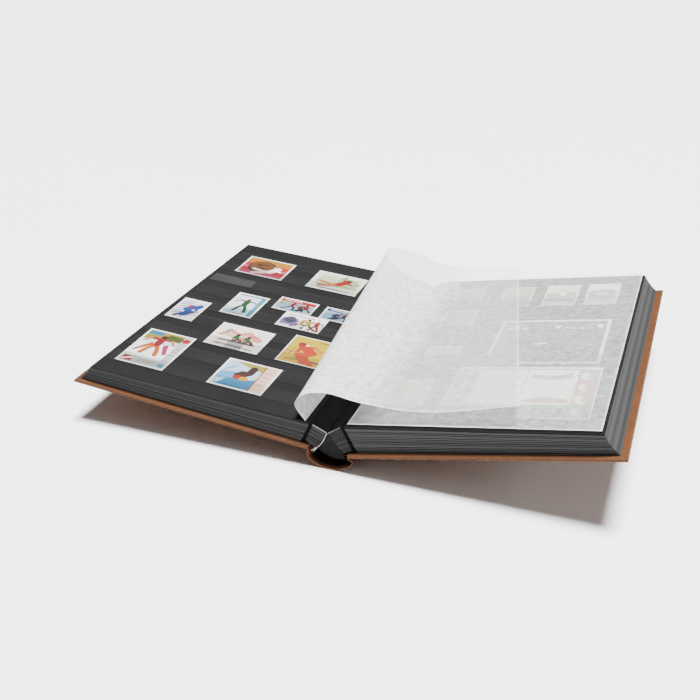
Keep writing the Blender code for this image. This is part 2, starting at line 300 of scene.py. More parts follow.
def dress(piece, body, slot, *nodes):
    """Hangs a piece on the body that it rides on and hides the CAD nodes that it stands for. The slot, its
    finish, is not used.
    """
    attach(piece, body)
    if nodes:
        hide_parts(*nodes)
    return piece


def extruded(path_top, path_under, half, rows):
    """A section ribbon between two paths, run up the book in the given number of rows."""
    ys = [(-1 + 2 * r / (rows - 1)) * half for r in range(rows)]
    top = [[at(p, y) for p in path_top] for y in ys]
    under = [[at(p, y) for p in path_under] for y in ys]
    return slab_mesh(top, under)


# ---------------------------------------------------------------- material helpers


PAPER_ALBEDO = 0.92
INK_DEPTH = 3.2
INK_PURITY = 0.5
INK_SHADE = 0.6


def ink(red, green, blue):
    """A printing ink from its colour on a screen, 0 to 255 each, deepened for the bright studio light."""
    light = [PAPER_ALBEDO * (c / 255) ** INK_DEPTH for c in (red, green, blue)]
    vivid = (max(light) - min(light)) / max(light)
    pure = [max(0.0, c - INK_PURITY * vivid * min(light)) for c in light]
    return tuple(c * (1 - INK_SHADE * vivid) for c in pure)


class Surface:
    """A material under construction: a Principled shader with nodes added one at a time."""

    def __init__(self, name, **settings):
        self.material = bpy.data.materials.new(name)
        self.material.use_nodes = True
        self.tree = self.material.node_tree
        self.shader = self.tree.nodes["Principled BSDF"]
        for key, value in settings.items():
            self.shader.inputs[key.replace("_", " ")].default_value = value
        self.place = self.node("TexCoord").outputs["Object"]

    def node(self, kind, inputs=(), **properties):
        made = self.tree.nodes.new("ShaderNode" + kind)
        for key, value in properties.items():
            setattr(made, key, value)
        for key, value in dict(inputs).items():
            if isinstance(value, bpy.types.NodeSocket):
                self.tree.links.new(value, made.inputs[key])
            else:
                made.inputs[key].default_value = value
        return made

    def stretched(self, x, y, z):
        """Object coordinates with a number of periods per metre along each axis."""
        return self.node("Mapping", {"Vector": self.place, "Scale": (x, y, z)}).outputs["Vector"]

    def noise(self, per_mm, detail=3.0, roughness=0.55, along=(1.0, 1.0, 1.0)):
        scale = [per_mm / MM * k for k in along]
        inputs = {"Vector": self.stretched(*scale), "Scale": 1.0, "Detail": detail, "Roughness": roughness}
        return self.node("TexNoise", inputs).outputs["Fac"]

    def math(self, operation, first, second=0.5, third=0.5):
        made = self.node("Math", {0: first, 1: second, 2: third}, operation=operation)
        return made.outputs[0]

    def plus(self, first, second, share):
        """The first value, and that share of the second added to it."""
        return self.math("ADD", first, self.math("MULTIPLY", second, share))

    def spread(self, value, low, high, new_low=0.0, new_high=1.0):
        inputs = {0: value, 1: low, 2: high, 3: new_low, 4: new_high}
        return self.node("MapRange", inputs).outputs[0]

    def mix(self, share, first, second):
        made = self.node("Mix", data_type="RGBA")
        for socket, value in ((0, share), (6, first), (7, second)):
            if isinstance(value, bpy.types.NodeSocket):
                self.tree.links.new(value, made.inputs[socket])
            elif socket:
                made.inputs[socket].default_value = (*value, 1.0)
            else:
                made.inputs[socket].default_value = value
        return made.outputs[2]

    def colour(self, socket):
        self.tree.links.new(socket, self.shader.inputs["Base Color"])

    def roughness(self, socket):
        self.tree.links.new(socket, self.shader.inputs["Roughness"])

    def alpha(self, socket):
        self.tree.links.new(socket, self.shader.inputs["Alpha"])

    def bump(self, height, distance_mm, strength=1.0):
        inputs = {"Height": height, "Distance": distance_mm * MM, "Strength": strength}
        self.tree.links.new(self.node("Bump", inputs).outputs["Normal"], self.shader.inputs["Normal"])

    def axis(self, index):
        return self.node("SeparateXYZ", {0: self.place}).outputs[index]


def leatherette_surface(name, deep, lit):
    """Grained bookbinding leatherette: pebbles about a millimetre across with painted shade in their
    creases, worn paler on the edges.
    """
    s = Surface(name, Specular_IOR_Level=0.06)
    inputs = {"Vector": s.stretched(950, 950, 950), "Scale": 1.0}
    cells = s.node("TexVoronoi", inputs, feature="DISTANCE_TO_EDGE")
    pebble = s.spread(cells.outputs["Distance"], 0.0, 0.22)
    fine = s.noise(2.6, 4.0)
    patches = s.noise(0.035, 4.0, 0.6)
    body = s.mix(s.spread(patches, 0.3, 0.7), deep, lit)
    # The grain's creases get a darker colour: painted shade.
    crease_shade = tuple(c * 0.55 for c in deep)
    body = s.mix(s.spread(pebble, 0.0, 1.0, 0.45, 1.0), crease_shade, body)
    edge = s.node("NewGeometry").outputs["Pointiness"]
    worn = s.math("MULTIPLY", s.spread(edge, 0.52, 0.6), s.spread(fine, 0.35, 0.7))
    s.colour(s.mix(worn, body, tuple(min(1.0, c * 1.5 + 0.05) for c in lit)))
    s.roughness(s.spread(s.noise(0.4, 3.0), 0.25, 0.75, 0.38, 0.6))
    s.bump(s.plus(pebble, fine, 0.6), 0.09, 0.7)
    return s.material


def card_surface(name, dark, light, edge=None, pages=False):
    """Dyed black card: short fibres, faint clouding and scuffs; a page also has its glue lines."""
    s = Surface(name, Specular_IOR_Level=0.12)
    fibre = s.noise(1.4, 5.0, 0.65, (1.0, 0.22, 1.0))
    cloud = s.noise(0.02, 3.0, 0.5)
    share = s.plus(s.math("MULTIPLY", fibre, 0.65), cloud, 0.5)
    body = s.mix(s.spread(share, 0.35, 0.85), dark, light)
    scuff = s.noise(0.25, 6.0, 0.75, (1.0, 0.12, 1.0))
    body = s.mix(s.spread(scuff, 0.62, 0.78, 0.0, 0.35), body, tuple(c * 2.2 + 0.01 for c in light))
    height = fibre
    if pages:
        from_foot = s.math("SUBTRACT", FIRST_STRIP_FOOT * MM, s.axis(1))
        pitch = s.math("DIVIDE", from_foot, STRIP_PITCH * MM)
        fold = s.math("FRACT", s.math("ADD", pitch, 1.0))
        near = s.math("MINIMUM", fold, s.math("SUBTRACT", 1.0, fold))
        line = s.spread(near, 0.012, 0.03, 1.0, 0.0)
        inside = s.math("GREATER_THAN", pitch, -0.4)
        line = s.math("MULTIPLY", line, inside)
        body = s.mix(s.math("MULTIPLY", line, 0.85), body, (0.003, 0.003, 0.003))
        height = s.math("SUBTRACT", fibre, s.math("MULTIPLY", line, 2.0))
    if edge:
        rim = s.node("NewGeometry").outputs["Pointiness"]
        body = s.mix(s.spread(rim, 0.505, 0.56, 0.0, 0.8), body, edge)
    s.colour(body)
    s.roughness(s.spread(fibre, 0.2, 0.8, 0.55, 0.8))
    s.bump(height, 0.05, 0.5)
    return s.material


def linen_surface(name, colour):
    """Plain-woven black book linen, about a thread a millimetre."""
    s = Surface(name, Roughness=0.85, Sheen_Weight=0.03, Specular_IOR_Level=0.1)
    waves = []
    for direction in ("X", "Y"):
        inputs = {"Vector": s.stretched(1000, 1000, 1000), "Scale": 0.32, "Distortion": 0.4}
        waves.append(s.node("TexWave", inputs, bands_direction=direction).outputs["Fac"])
    weave = s.math("MULTIPLY", waves[0], waves[1])
    s.colour(s.mix(weave, tuple(c * 0.4 for c in colour), tuple(c * 1.5 for c in colour)))
    s.bump(s.math("ADD", weave, s.noise(1.8)), 0.15, 0.8)
    return s.material


def board_surface(name, colour):
    """Grey binder's board: mixed pulp with flecks."""
    s = Surface(name, Roughness=0.9, Specular_IOR_Level=0.15)
    pulp = s.noise(0.9, 6.0, 0.7)
    flecks = s.noise(2.4, 2.0)
    body = s.mix(s.spread(pulp, 0.3, 0.7), tuple(c * 0.7 for c in colour), colour)
    s.colour(s.mix(s.spread(flecks, 0.66, 0.72), body, tuple(c * 0.35 for c in colour)))
    s.bump(pulp, 0.08, 0.6)
    return s.material


def film_surface(name, dark, light, thin, thick):
    """Clear pocket film: nearly invisible, with faint smears and a glossy waviness."""
    s = Surface(name, Roughness=0.16, IOR=1.49, Coat_Weight=0.3, Coat_Roughness=0.08)
    smear = s.noise(0.05, 4.0, 0.6, (0.25, 1.0, 1.0))
    s.colour(s.mix(smear, (dark,) * 3, (light,) * 3))
    s.alpha(s.spread(smear, 0.3, 0.7, thin, thick))
    s.bump(s.noise(0.06, 2.0, 0.4, (0.3, 1.0, 1.0)), 0.25, 0.35)
    return s.material


def glassine_surface(name, standing, resting, bend_start, bend_end, tone):
    """Glassine: a thin calendered paper, milky with cloudy fibre clumps and paler, crisp edges; more
    opaque, so whiter, where it stands up, which is painted sheen.
    """
    s = Surface(name, Roughness=0.42, Specular_IOR_Level=0.35)
    clumps = s.noise(0.2, 5.0, 0.62)
    fibre = s.noise(0.8, 4.0, 0.6, (1.0, 0.35, 1.0))
    share = s.plus(s.math("MULTIPLY", clumps, 0.7), fibre, 0.3)
    low = tuple(c * 0.74 for c in tone)
    s.colour(s.mix(s.spread(share, 0.35, 0.65), low, tone))
    # Opacity runs from the standing value to the resting value along X. The standing part's extra opacity
    # is painted sheen, for the whiter look of the sheet seen at a grazing angle.
    opacity = s.spread(s.axis(0), bend_start * MM, bend_end * MM, standing, resting)
    opacity = s.math("MULTIPLY", opacity, s.spread(share, 0.35, 0.65, 0.75, 1.25))
    rim = s.math("POWER", s.node("Attribute", attribute_name="rim").outputs["Fac"], 3.0)
    s.alpha(s.plus(opacity, rim, 0.5))
    s.bump(s.plus(clumps, fibre, 0.3), 0.22, 0.35)
    return s.material


def thread_surface(name):
    """Bleached linen thread, two plies twisted."""
    s = Surface(name, Roughness=0.85, Sheen_Weight=0.3)
    inputs = {"Vector": s.stretched(1000, 1000, 1000), "Scale": 0.45, "Distortion": 0.3}
    plies = s.node("TexWave", inputs, bands_direction="DIAGONAL").outputs["Fac"]
    s.colour(s.mix(plies, (0.55, 0.54, 0.5), (0.9, 0.89, 0.85)))
    s.bump(plies, 0.12, 0.8)
    return s.material


def print_surface(name):
    """Stamp paper printed from the mesh's own colours, with screen grain and a slight gloss."""
    s = Surface(name, Specular_IOR_Level=0.4)
    print_colour = s.node("Attribute", attribute_name="print").outputs["Color"]
    grain = s.noise(4.5, 2.0, 0.6)
    wash = s.noise(0.12, 4.0, 0.6)
    darker = s.node("Mix", {0: 1.0}, data_type="RGBA", blend_type="MULTIPLY")
    s.tree.links.new(print_colour, darker.inputs[6])
    share = s.math("ADD", s.spread(grain, 0.25, 0.75, 0.8, 1.0), s.spread(wash, 0.3, 0.7, -0.12, 0.0))
    shade = s.node("CombineColor", {0: share, 1: share, 2: share}).outputs[0]
    s.tree.links.new(shade, darker.inputs[7])
    s.colour(darker.outputs[2])
    s.roughness(s.spread(grain, 0.2, 0.8, 0.4, 0.6))
    s.bump(grain, 0.02, 0.4)
    return s.material


def floor_surface(name):
    """A pale painted sweep with barely visible clouding."""
    s = Surface(name, Roughness=0.6, Specular_IOR_Level=0.2)
    s.colour(s.mix(s.noise(0.004, 3.0), (0.93, 0.93, 0.93), (0.96, 0.96, 0.96)))
    return s.material


LEATHERETTE = leatherette_surface("cognac_leatherette", (0.036, 0.0096, 0.0002), (0.078, 0.0215, 0.0004))
PAGE_CARD = card_surface("black_page_card", (0.0025, 0.0025, 0.0028), (0.009, 0.009, 0.0096), pages=True)
LEAF_CARDS = [
    card_surface(f"black_leaf_card_{i + 1}", (tone * 0.3,) * 3, (tone,) * 3, (edge,) * 3)
    for i, (tone, edge) in enumerate(((0.009, 0.03), (0.012, 0.042), (0.015, 0.056)))
]
GUARD_CARD = card_surface("black_guard_card", (0.001, 0.001, 0.001), (0.0045, 0.0045, 0.0045))
ENDPAPER = card_surface("black_endpaper", (0.003, 0.003, 0.003), (0.01, 0.01, 0.01))
LINEN = linen_surface("black_linen", (0.003, 0.003, 0.003))
BOARD = board_surface("grey_board", (0.14, 0.11, 0.08))
SPINE_CARD = board_surface("brown_spine_card", (0.03, 0.014, 0.007))
FILM = film_surface("clear_pocket_film", 0.02, 0.05, 0.06, 0.16)
MILKY_FILM = film_surface("doubled_pocket_film", 0.05, 0.09, 0.14, 0.24)
WHITE_PAPER = board_surface("white_paper", (0.4, 0.4, 0.39))
FLAT_GLASSINE = glassine_surface("glassine_lying", 0.19, 0.19, 0.0, 1.0, (0.9, 0.9, 0.9))
# The turned sheet's higher opacity where it stands up is painted sheen.
TURNED_GLASSINE = glassine_surface("glassine_turned", 0.58, 0.16, 16.0, 46.0, (0.88, 0.88, 0.88))
THREAD = thread_surface("white_thread")
PRINT = print_surface("printed_stamp_paper")


# ---------------------------------------------------------------- covers and spine

# The wrapped edge of a cover, in millimetres, with a faint crease along its middle.
CREASE = 0.13
EDGE_RADIUS = 1.15
TURN_IN = 13.0
SKIN = 0.45
MITRE_GAP = 0.12


def edge_profile(thickness):
    """Loop round a cover's edge: (distance in from the edge, height over the outer face)."""
    quarter = [math.pi / 2 * i / 6 for i in range(7)]
    loop = [(EDGE_RADIUS * (1 - math.sin(a)), EDGE_RADIUS * (1 - math.cos(a))) for a in quarter]
    loop.append((CREASE, thickness / 2))
    for a in quarter:
        loop.append((EDGE_RADIUS * (1 - math.cos(a)), thickness - EDGE_RADIUS * (1 - math.sin(a))))
    loop += [(TURN_IN - 0.3, thickness), (TURN_IN, thickness - 0.15), (TURN_IN, thickness - SKIN)]
    loop += [(EDGE_RADIUS, thickness - SKIN), (SKIN + CREASE, thickness / 2), (EDGE_RADIUS, SKIN)]
    return loop


def wrap(loop, start, end):
    """A closed strip: the loop's points at both ends, which the two functions place."""
    count = len(loop)
    points = [start(*p) for p in loop] + [end(*p) for p in loop]
    faces = [(i, (i + 1) % count, (i + 1) % count + count, i + count) for i in range(count)]
    faces += [tuple(range(count)), tuple(range(2 * count - 1, count - 1, -1))]
    return points, faces


def make_case(side, body, slope, sign):
    """One cover's leatherette: the outer skin and the three wrapped edges, mitred at the corners."""
    centre, size = plate_of(side + "_leatherette", slope)
    wide, tall, thick = size
    loop = edge_profile(thick)

    def spot(x, y, w):
        return centre @ (Vector((sign * x, y, w - thick / 2)) * MM)

    far, half = wide / 2, tall / 2
    parts = [
        wrap(
            loop,
            lambda u, w: spot(far - u, -half + u + MITRE_GAP, w),
            lambda u, w: spot(far - u, half - u - MITRE_GAP, w),
        )
    ]
    for end in (-1, 1):
        parts.append(
            wrap(
                loop,
                lambda u, w, end=end: spot(-far, end * (half - u), w),
                lambda u, w, end=end: spot(far - u, end * (half - u), w),
            )
        )
    xs = (-far, far - EDGE_RADIUS)
    ys = (-half + EDGE_RADIUS, half - EDGE_RADIUS)
    top = [[spot(x, y, SKIN) for x in xs] for y in ys]
    under = [[spot(x, y, 0.0) for x in xs] for y in ys]
    parts.append(slab_mesh(top, under))
    made = new_piece(side + "_case", *joined(parts), LEATHERETTE, 50.0)
    return dress(made, body, "leatherette", side + "_leatherette")


def make_spine():
    """The rolled spine, from one cover joint round to the other."""
    half = half_length("spine_leatherette")
    face = smooth_path(SPINE_FACE, 96)
    inside = beside(face, SPINE_WALL)
    made = new_piece("spine_case", *extruded(face, inside, half, 13), LEATHERETTE)
    dress(made, "spine", "leatherette", "spine_leatherette")
    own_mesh(made)


def make_lining():
    """The black lining that bridges the back of the page block, and the soft padding above it."""
    half = half_length("back_lining")
    face = smooth_path(LINING_FACE, 24)
    made = new_piece("mull_lining", *extruded(face, beside(face, LINING_THICK), half, 9), LINEN)
    dress(made, "spine", "black_linen", "back_lining")
    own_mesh(made)
    roof_left = [between(*PADDING_LEFT, i / 8) for i in range(9)]
    roof_right = [between(*PADDING_RIGHT, i / 8) for i in range(9)]
    roof = roof_left[::-1] + roof_right
    under = [smooth_point(LINING_FACE, 0.06 + 0.86 * i / (len(roof) - 1)) for i in range(len(roof))]
    under = [(x, z + 0.5) for x, z in under]
    padding = new_piece("back_padding", *extruded(roof, under, half - 0.4, 5), GUARD_CARD)
    dress(padding, "spine", "black_linen")
    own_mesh(padding)


def make_joints():
    """Leatherette at both joints: a lip towards the spine, and a tongue seen in the gap of a shut book."""
    half = half_length("spine_leatherette")
    ribbons = (
        ("back_lip", "back_half", RIGHT_LIP, SPINE_WALL, half),
        ("front_lip", "front_half", LEFT_LIP, SPINE_WALL, half),
        ("back_joint_cloth", "back_half", RIGHT_CLOTH, CLOTH_THICK, half - CLOTH_INSET),
        ("front_joint_cloth", "front_half", LEFT_CLOTH, CLOTH_THICK, half - CLOTH_INSET),
    )
    for name, body, knots, thick, reach in ribbons:
        path = smooth_path(knots, 16)
        made = new_piece(name, *extruded(path, beside(path, thick), reach, 9), LEATHERETTE)
        dress(made, body, "leatherette")


# ---------------------------------------------------------------- page block


def wavy(point, y, seed, amount):
    """A small lift, in metres, that gives card its slight waves."""
    return amount * MM * noise.noise(Vector((point[0] * 0.02, y * 0.018, seed * 3.7)))


def leaf_mesh(inner, outer, thicks, half, seed, columns=14, rows=12, amount=0.25):
    """A card leaf between two section points, wavy, with its own small misalignment."""
    shift = random.uniform(-0.3, 0.3)
    top, under = [], []
    for r in range(rows):
        y = (-1 + 2 * r / (rows - 1)) * half + shift
        row_top, row_under = [], []
        for c in range(columns):
            point = between(inner, outer, c / (columns - 1))
            thick = thicks[0] + (thicks[1] - thicks[0]) * c / (columns - 1)
            lift = Vector((0, 0, wavy(point, y, seed, amount)))
            row_top.append(at(point, y) + lift)
            row_under.append(at((point[0], point[1] - thick), y) + lift)
        top.append(row_top)
        under.append(row_under)
    return slab_mesh(top, under)


def make_stack(side, body, hinge, slope, stack_foot, fore_foot, sign):
    """The leaves below the top one, each its own piece, with a hollow fore-edge."""
    half = half_length(side + "_top_leaf")
    root = section(hinge)
    top_inner = step(root, slope, sign * LINEN_GAP)
    _, size = plate_of(side + "_top_leaf", slope)
    top_outer = step(top_inner, slope, sign * size.x)
    inner_pitch = (top_inner[1] - stack_foot[1]) / STACK_SLOTS
    outer_pitch = (top_outer[1] - fore_foot[1]) / STACK_SLOTS
    for i in range(LEAVES_BELOW):
        share = (i + FIRST_SLOT) / STACK_SLOTS
        inner = between(top_inner, stack_foot, share)
        outer = between(top_outer, fore_foot, share)
        hollow = FORE_EDGE_HOLLOW * math.sin(math.pi * share)
        outer = (outer[0] - sign * (hollow + random.uniform(-0.15, 0.15)), outer[1])
        fill = random.uniform(0.8, 0.96)
        thicks = (fill * inner_pitch, fill * outer_pitch)
        points = leaf_mesh(inner, outer, thicks, half, 40 * sign)
        made = new_piece(f"{side}_leaf_{i + 2}", *points, random.choice(LEAF_CARDS), 30.0)
        dress(made, body, "black_card", *([side + "_leaf_stack"] if i == 0 else []))


def make_guards(side, body, hinge, block_foot, guard_foot, sign):
    """The stubs that the leaves hang on, fanned between the top pair and the block's foot."""
    half = half_length(side + "_guards")
    count = LEAVES_BELOW + 1
    start = (sign * 0.05, 0.0)
    end = section(hinge)
    for i in range(count):
        share = i / count
        inner = between(start, block_foot, share)
        outer = between(end, guard_foot, share)
        inner = (inner[0] + sign * 0.1, inner[1])
        thick = GUARD_THICK if i else TOP_GUARD_THICK
        points = leaf_mesh(inner, outer, (thick, thick), half, i, columns=4, rows=8, amount=0.08)
        card = random.choice(LEAF_CARDS) if i else GUARD_CARD
        made = new_piece(f"{side}_guard_{i + 1}", *points, card, 30.0)
        dress(made, body, "black_card", *([side + "_guards"] if i == 0 else []))
    inner, outer = (sign * 0.9, -PAPER_DROP), (end[0], end[1] - PAPER_DROP)
    points = leaf_mesh(inner, outer, (0.15, 0.15), half + 0.3, 5, columns=4, rows=8, amount=0.08)
    dress(new_piece(side + "_guard_paper", *points, WHITE_PAPER), body, "glassine")


def make_linen(side, guard_body, half_body, hinge, slope, guard_foot, stack_foot, sign):
    """The woven hinges between stubs and leaves, one a leaf."""
    half = half_length(side + "_guards") - 0.3
    root = section(hinge)
    leaf_start = step(root, slope, sign * LINEN_GAP)
    parts = []
    count = LEAVES_BELOW + 1
    for i in range(count):
        share = (i + 0.15) / count
        a = between(root, guard_foot, share)
        b = between(leaf_start, stack_foot, share)
        middle = between(a, b, 0.5)
        sag = 0.25 + random.uniform(-0.12, 0.12)
        start = (a[0] - sign * LINEN_TUCK, a[1])
        end = (b[0] + sign * LINEN_TUCK, b[1])
        path = smooth_path((start, (middle[0], middle[1] - sag), end), 6)
        jog = random.uniform(-0.35, 0.35)
        ys = [-half + jog + (2 * half - jog) * r / 8 for r in range(9)]
        top = [[at(p, y) for p in path] for y in ys]
        under = [[at((p[0], p[1] - LINEN_THICK), y) for p in path] for y in ys]
        parts.append(slab_mesh(top, under))
    made = new_piece(side + "_linen_hinges", *joined(parts), LINEN)
    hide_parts(side + "_linen_hinge")
    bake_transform(made)


def make_thread(name, points, body, *nodes, radius=0.17):
    """A bevelled curve for a stretch of sewing thread."""
    curve = bpy.data.curves.new(name, "CURVE")
    curve.dimensions = "3D"
    curve.bevel_depth = radius * MM
    curve.bevel_resolution = 3
    curve.use_fill_caps = True
    line = curve.splines.new("POLY")
    line.points.add(len(points) - 1)
    for spot, point in zip(line.points, points):
        spot.co = (*point, 1.0)
    curve.materials.append(THREAD)
    return dress(linked(name, curve), body, "white_thread", *nodes)


def make_threads():
    """The thread sewn down the fold, its tail over the stubs, the knot and the two cut ends."""
    low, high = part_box("binding_thread")
    seam = [(0.0, SEAM_DROP + 0.1 * math.sin(i * 1.3)) for i in range(41)]
    points = [at(p, low.y / MM + (high.y - low.y) / MM * i / 40) for i, p in enumerate(seam)]
    make_thread("fold_thread", points, "gutter", "binding_thread")
    edge = low.y / MM - THREAD_STAND_OFF
    loose = [at(smooth_point(THREAD_TAIL, i / 30), edge - 0.2 * math.sin(i * 0.7)) for i in range(31)]
    make_thread("tail_thread", loose, "left_guard_block", "thread_tail")
    knot = []
    for i in range(25):
        turn = i / 24 * 4 * math.pi
        spot = (KNOT[0] + KNOT_RADIUS * math.cos(turn), KNOT[1] + KNOT_RADIUS * math.sin(turn))
        knot.append(at(spot, edge - 0.2 + 0.3 * math.cos(turn * 1.5)))
    make_thread("thread_knot", knot, "left_guard_block")
    for name, end in THREAD_ENDS.items():
        way = [between(KNOT_EXIT, end, i / 8) for i in range(9)]
        points = [at((p[0], p[1] + 0.5 * math.sin(i * 0.4)), edge - 0.3) for i, p in enumerate(way)]
        make_thread(name, points, "left_guard_block", radius=0.2)


# ---------------------------------------------------------------- glassine


def make_flat_interleaf():
    """The interleaf that lies on the right page, with a faint ripple."""
    centre, size = plate_of("interleaf_flat", RIGHT_LEAF_SLOPE)
    columns, rows = 70, 100
    top, under = [], []
    for r in range(rows):
        y = (r / (rows - 1) - 0.5) * size.y
        row = []
        for c in range(columns):
            x = (c / (columns - 1) - 0.5) * size.x
            ripple = noise.noise(Vector((x * 0.03, y * 0.03, 4.0))) * FLAT_RIPPLE
            row.append((x, y, ripple))
        top.append([centre @ (Vector((x, y, z + FLAT_SHEET_THICK / 2)) * MM) for x, y, z in row])
        under.append([centre @ (Vector((x, y, z - FLAT_SHEET_THICK / 2)) * MM) for x, y, z in row])
    made = new_piece("interleaf_laid", *slab_mesh(top, under), FLAT_GLASSINE, 60.0)
    mark_rim(made, rows, columns)
    dress(made, "back_half", "glassine", "interleaf_flat")
    return made


def mark_rim(piece, rows, columns):
    """Stores 1 on the sheet's border points and 0 inside, for the brighter cut edge."""
    rim = piece.data.attributes.new("rim", "FLOAT", "POINT")
    for side in range(2):
        for r in range(rows):
            for c in range(columns):
                border = r in (0, rows - 1) or c in (0, columns - 1)
                rim.data[side * rows * columns + r * columns + c].value = float(border)


def make_turned_interleaf(flat_one):
    """The interleaf caught part way over, a little narrower up the book towards its free edge."""
    tall = 2 * half_length("interleaf_turned")
    columns, rows = 90, 80
    top, under = [], []
    for r in range(rows):
        share = r / (rows - 1)
        y = (share - 0.5) * tall
        knots = [between(a, b, share) for a, b in zip(CURL_TAIL, CURL_HEAD)]
        path = smooth_path(knots, columns)
        path = [
            (x, z + TURNED_RIPPLE * min(1.0, i / 20) * noise.noise(Vector((x * 0.015, y * 0.02, 2.0))))
            for i, (x, z) in enumerate(path)
        ]
        skew = [1 - TURNED_NARROWING * (i / columns) ** 2 for i in range(columns + 1)]
        top.append([at(p, y * k) for p, k in zip(path, skew)])
        under.append([at(p, y * k) for p, k in zip(beside(path, TURNED_SHEET_THICK), skew)])
    made = new_piece("interleaf_turning", *slab_mesh(top, under), TURNED_GLASSINE, 60.0)
    mark_rim(made, rows, columns + 1)
    dress(made, "gutter", "glassine", "interleaf_turned")
    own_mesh(made)


# ---------------------------------------------------------------- stamps

WHITE = (246, 245, 240)
BLACK = (30, 28, 30)
SKIN_TONE = (226, 178, 140)
PAPER = ink(*WHITE)

# Each athlete's head, trunk, arms and legs, from the hips and in shares of the figure's height.
POSES = {
    "stand": (
        (0.0, 0.56),
        ((0.0, 0.0), (0.0, 0.4)),
        (((0.0, 0.38), (-0.2, 0.22), (-0.12, 0.02)), ((0.0, 0.38), (0.2, 0.22), (0.12, 0.02))),
        (((0.0, 0.0), (-0.12, -0.24), (-0.16, -0.5)), ((0.0, 0.0), (0.14, -0.24), (0.16, -0.5))),
    ),
    "stride": (
        (0.1, 0.5),
        ((0.0, 0.0), (0.06, 0.36)),
        (((0.06, 0.34), (-0.2, 0.24), (-0.36, 0.34)), ((0.06, 0.34), (0.3, 0.24), (0.4, 0.4))),
        (((0.0, 0.0), (0.22, -0.16), (0.18, -0.48)), ((0.0, 0.0), (-0.22, -0.24), (-0.46, -0.42))),
    ),
    "crouch": (
        (0.32, 0.28),
        ((0.0, 0.0), (0.26, 0.2)),
        (((0.26, 0.18), (0.32, -0.08), (0.52, -0.06)), ((0.24, 0.16), (0.0, 0.24), (-0.16, 0.1))),
        (((0.0, 0.0), (0.26, -0.14), (0.04, -0.42)), ((0.0, 0.0), (0.1, -0.2), (-0.14, -0.46))),
    ),
    "leap": (
        (-0.2, 0.3),
        ((0.0, 0.0), (-0.14, 0.2)),
        (((-0.14, 0.18), (-0.04, 0.36), (-0.06, 0.54)), ((-0.14, 0.18), (-0.36, 0.1), (-0.54, 0.2))),
        (((0.0, 0.0), (0.28, -0.02), (0.56, 0.04)), ((0.0, 0.0), (0.22, -0.14), (0.5, -0.24))),
    ),
    "arms_out": (
        (0.0, 0.42),
        ((0.0, 0.0), (0.0, 0.3)),
        (((0.0, 0.28), (-0.3, 0.3), (-0.44, 0.1)), ((0.0, 0.28), (0.3, 0.3), (0.44, 0.1))),
        (((0.0, 0.0), (-0.14, -0.26), (-0.22, -0.56)), ((0.0, 0.0), (0.14, -0.26), (0.22, -0.56))),
    ),
    "sit": (
        (0.0, 0.4),
        ((0.0, 0.0), (-0.02, 0.26)),
        (((0.0, 0.24), (0.16, 0.12), (0.3, 0.2)), ((-0.02, 0.24), (-0.14, 0.12), (-0.02, 0.04))),
        (((0.0, 0.0), (0.2, 0.06), (0.3, -0.1)),),
    ),
}


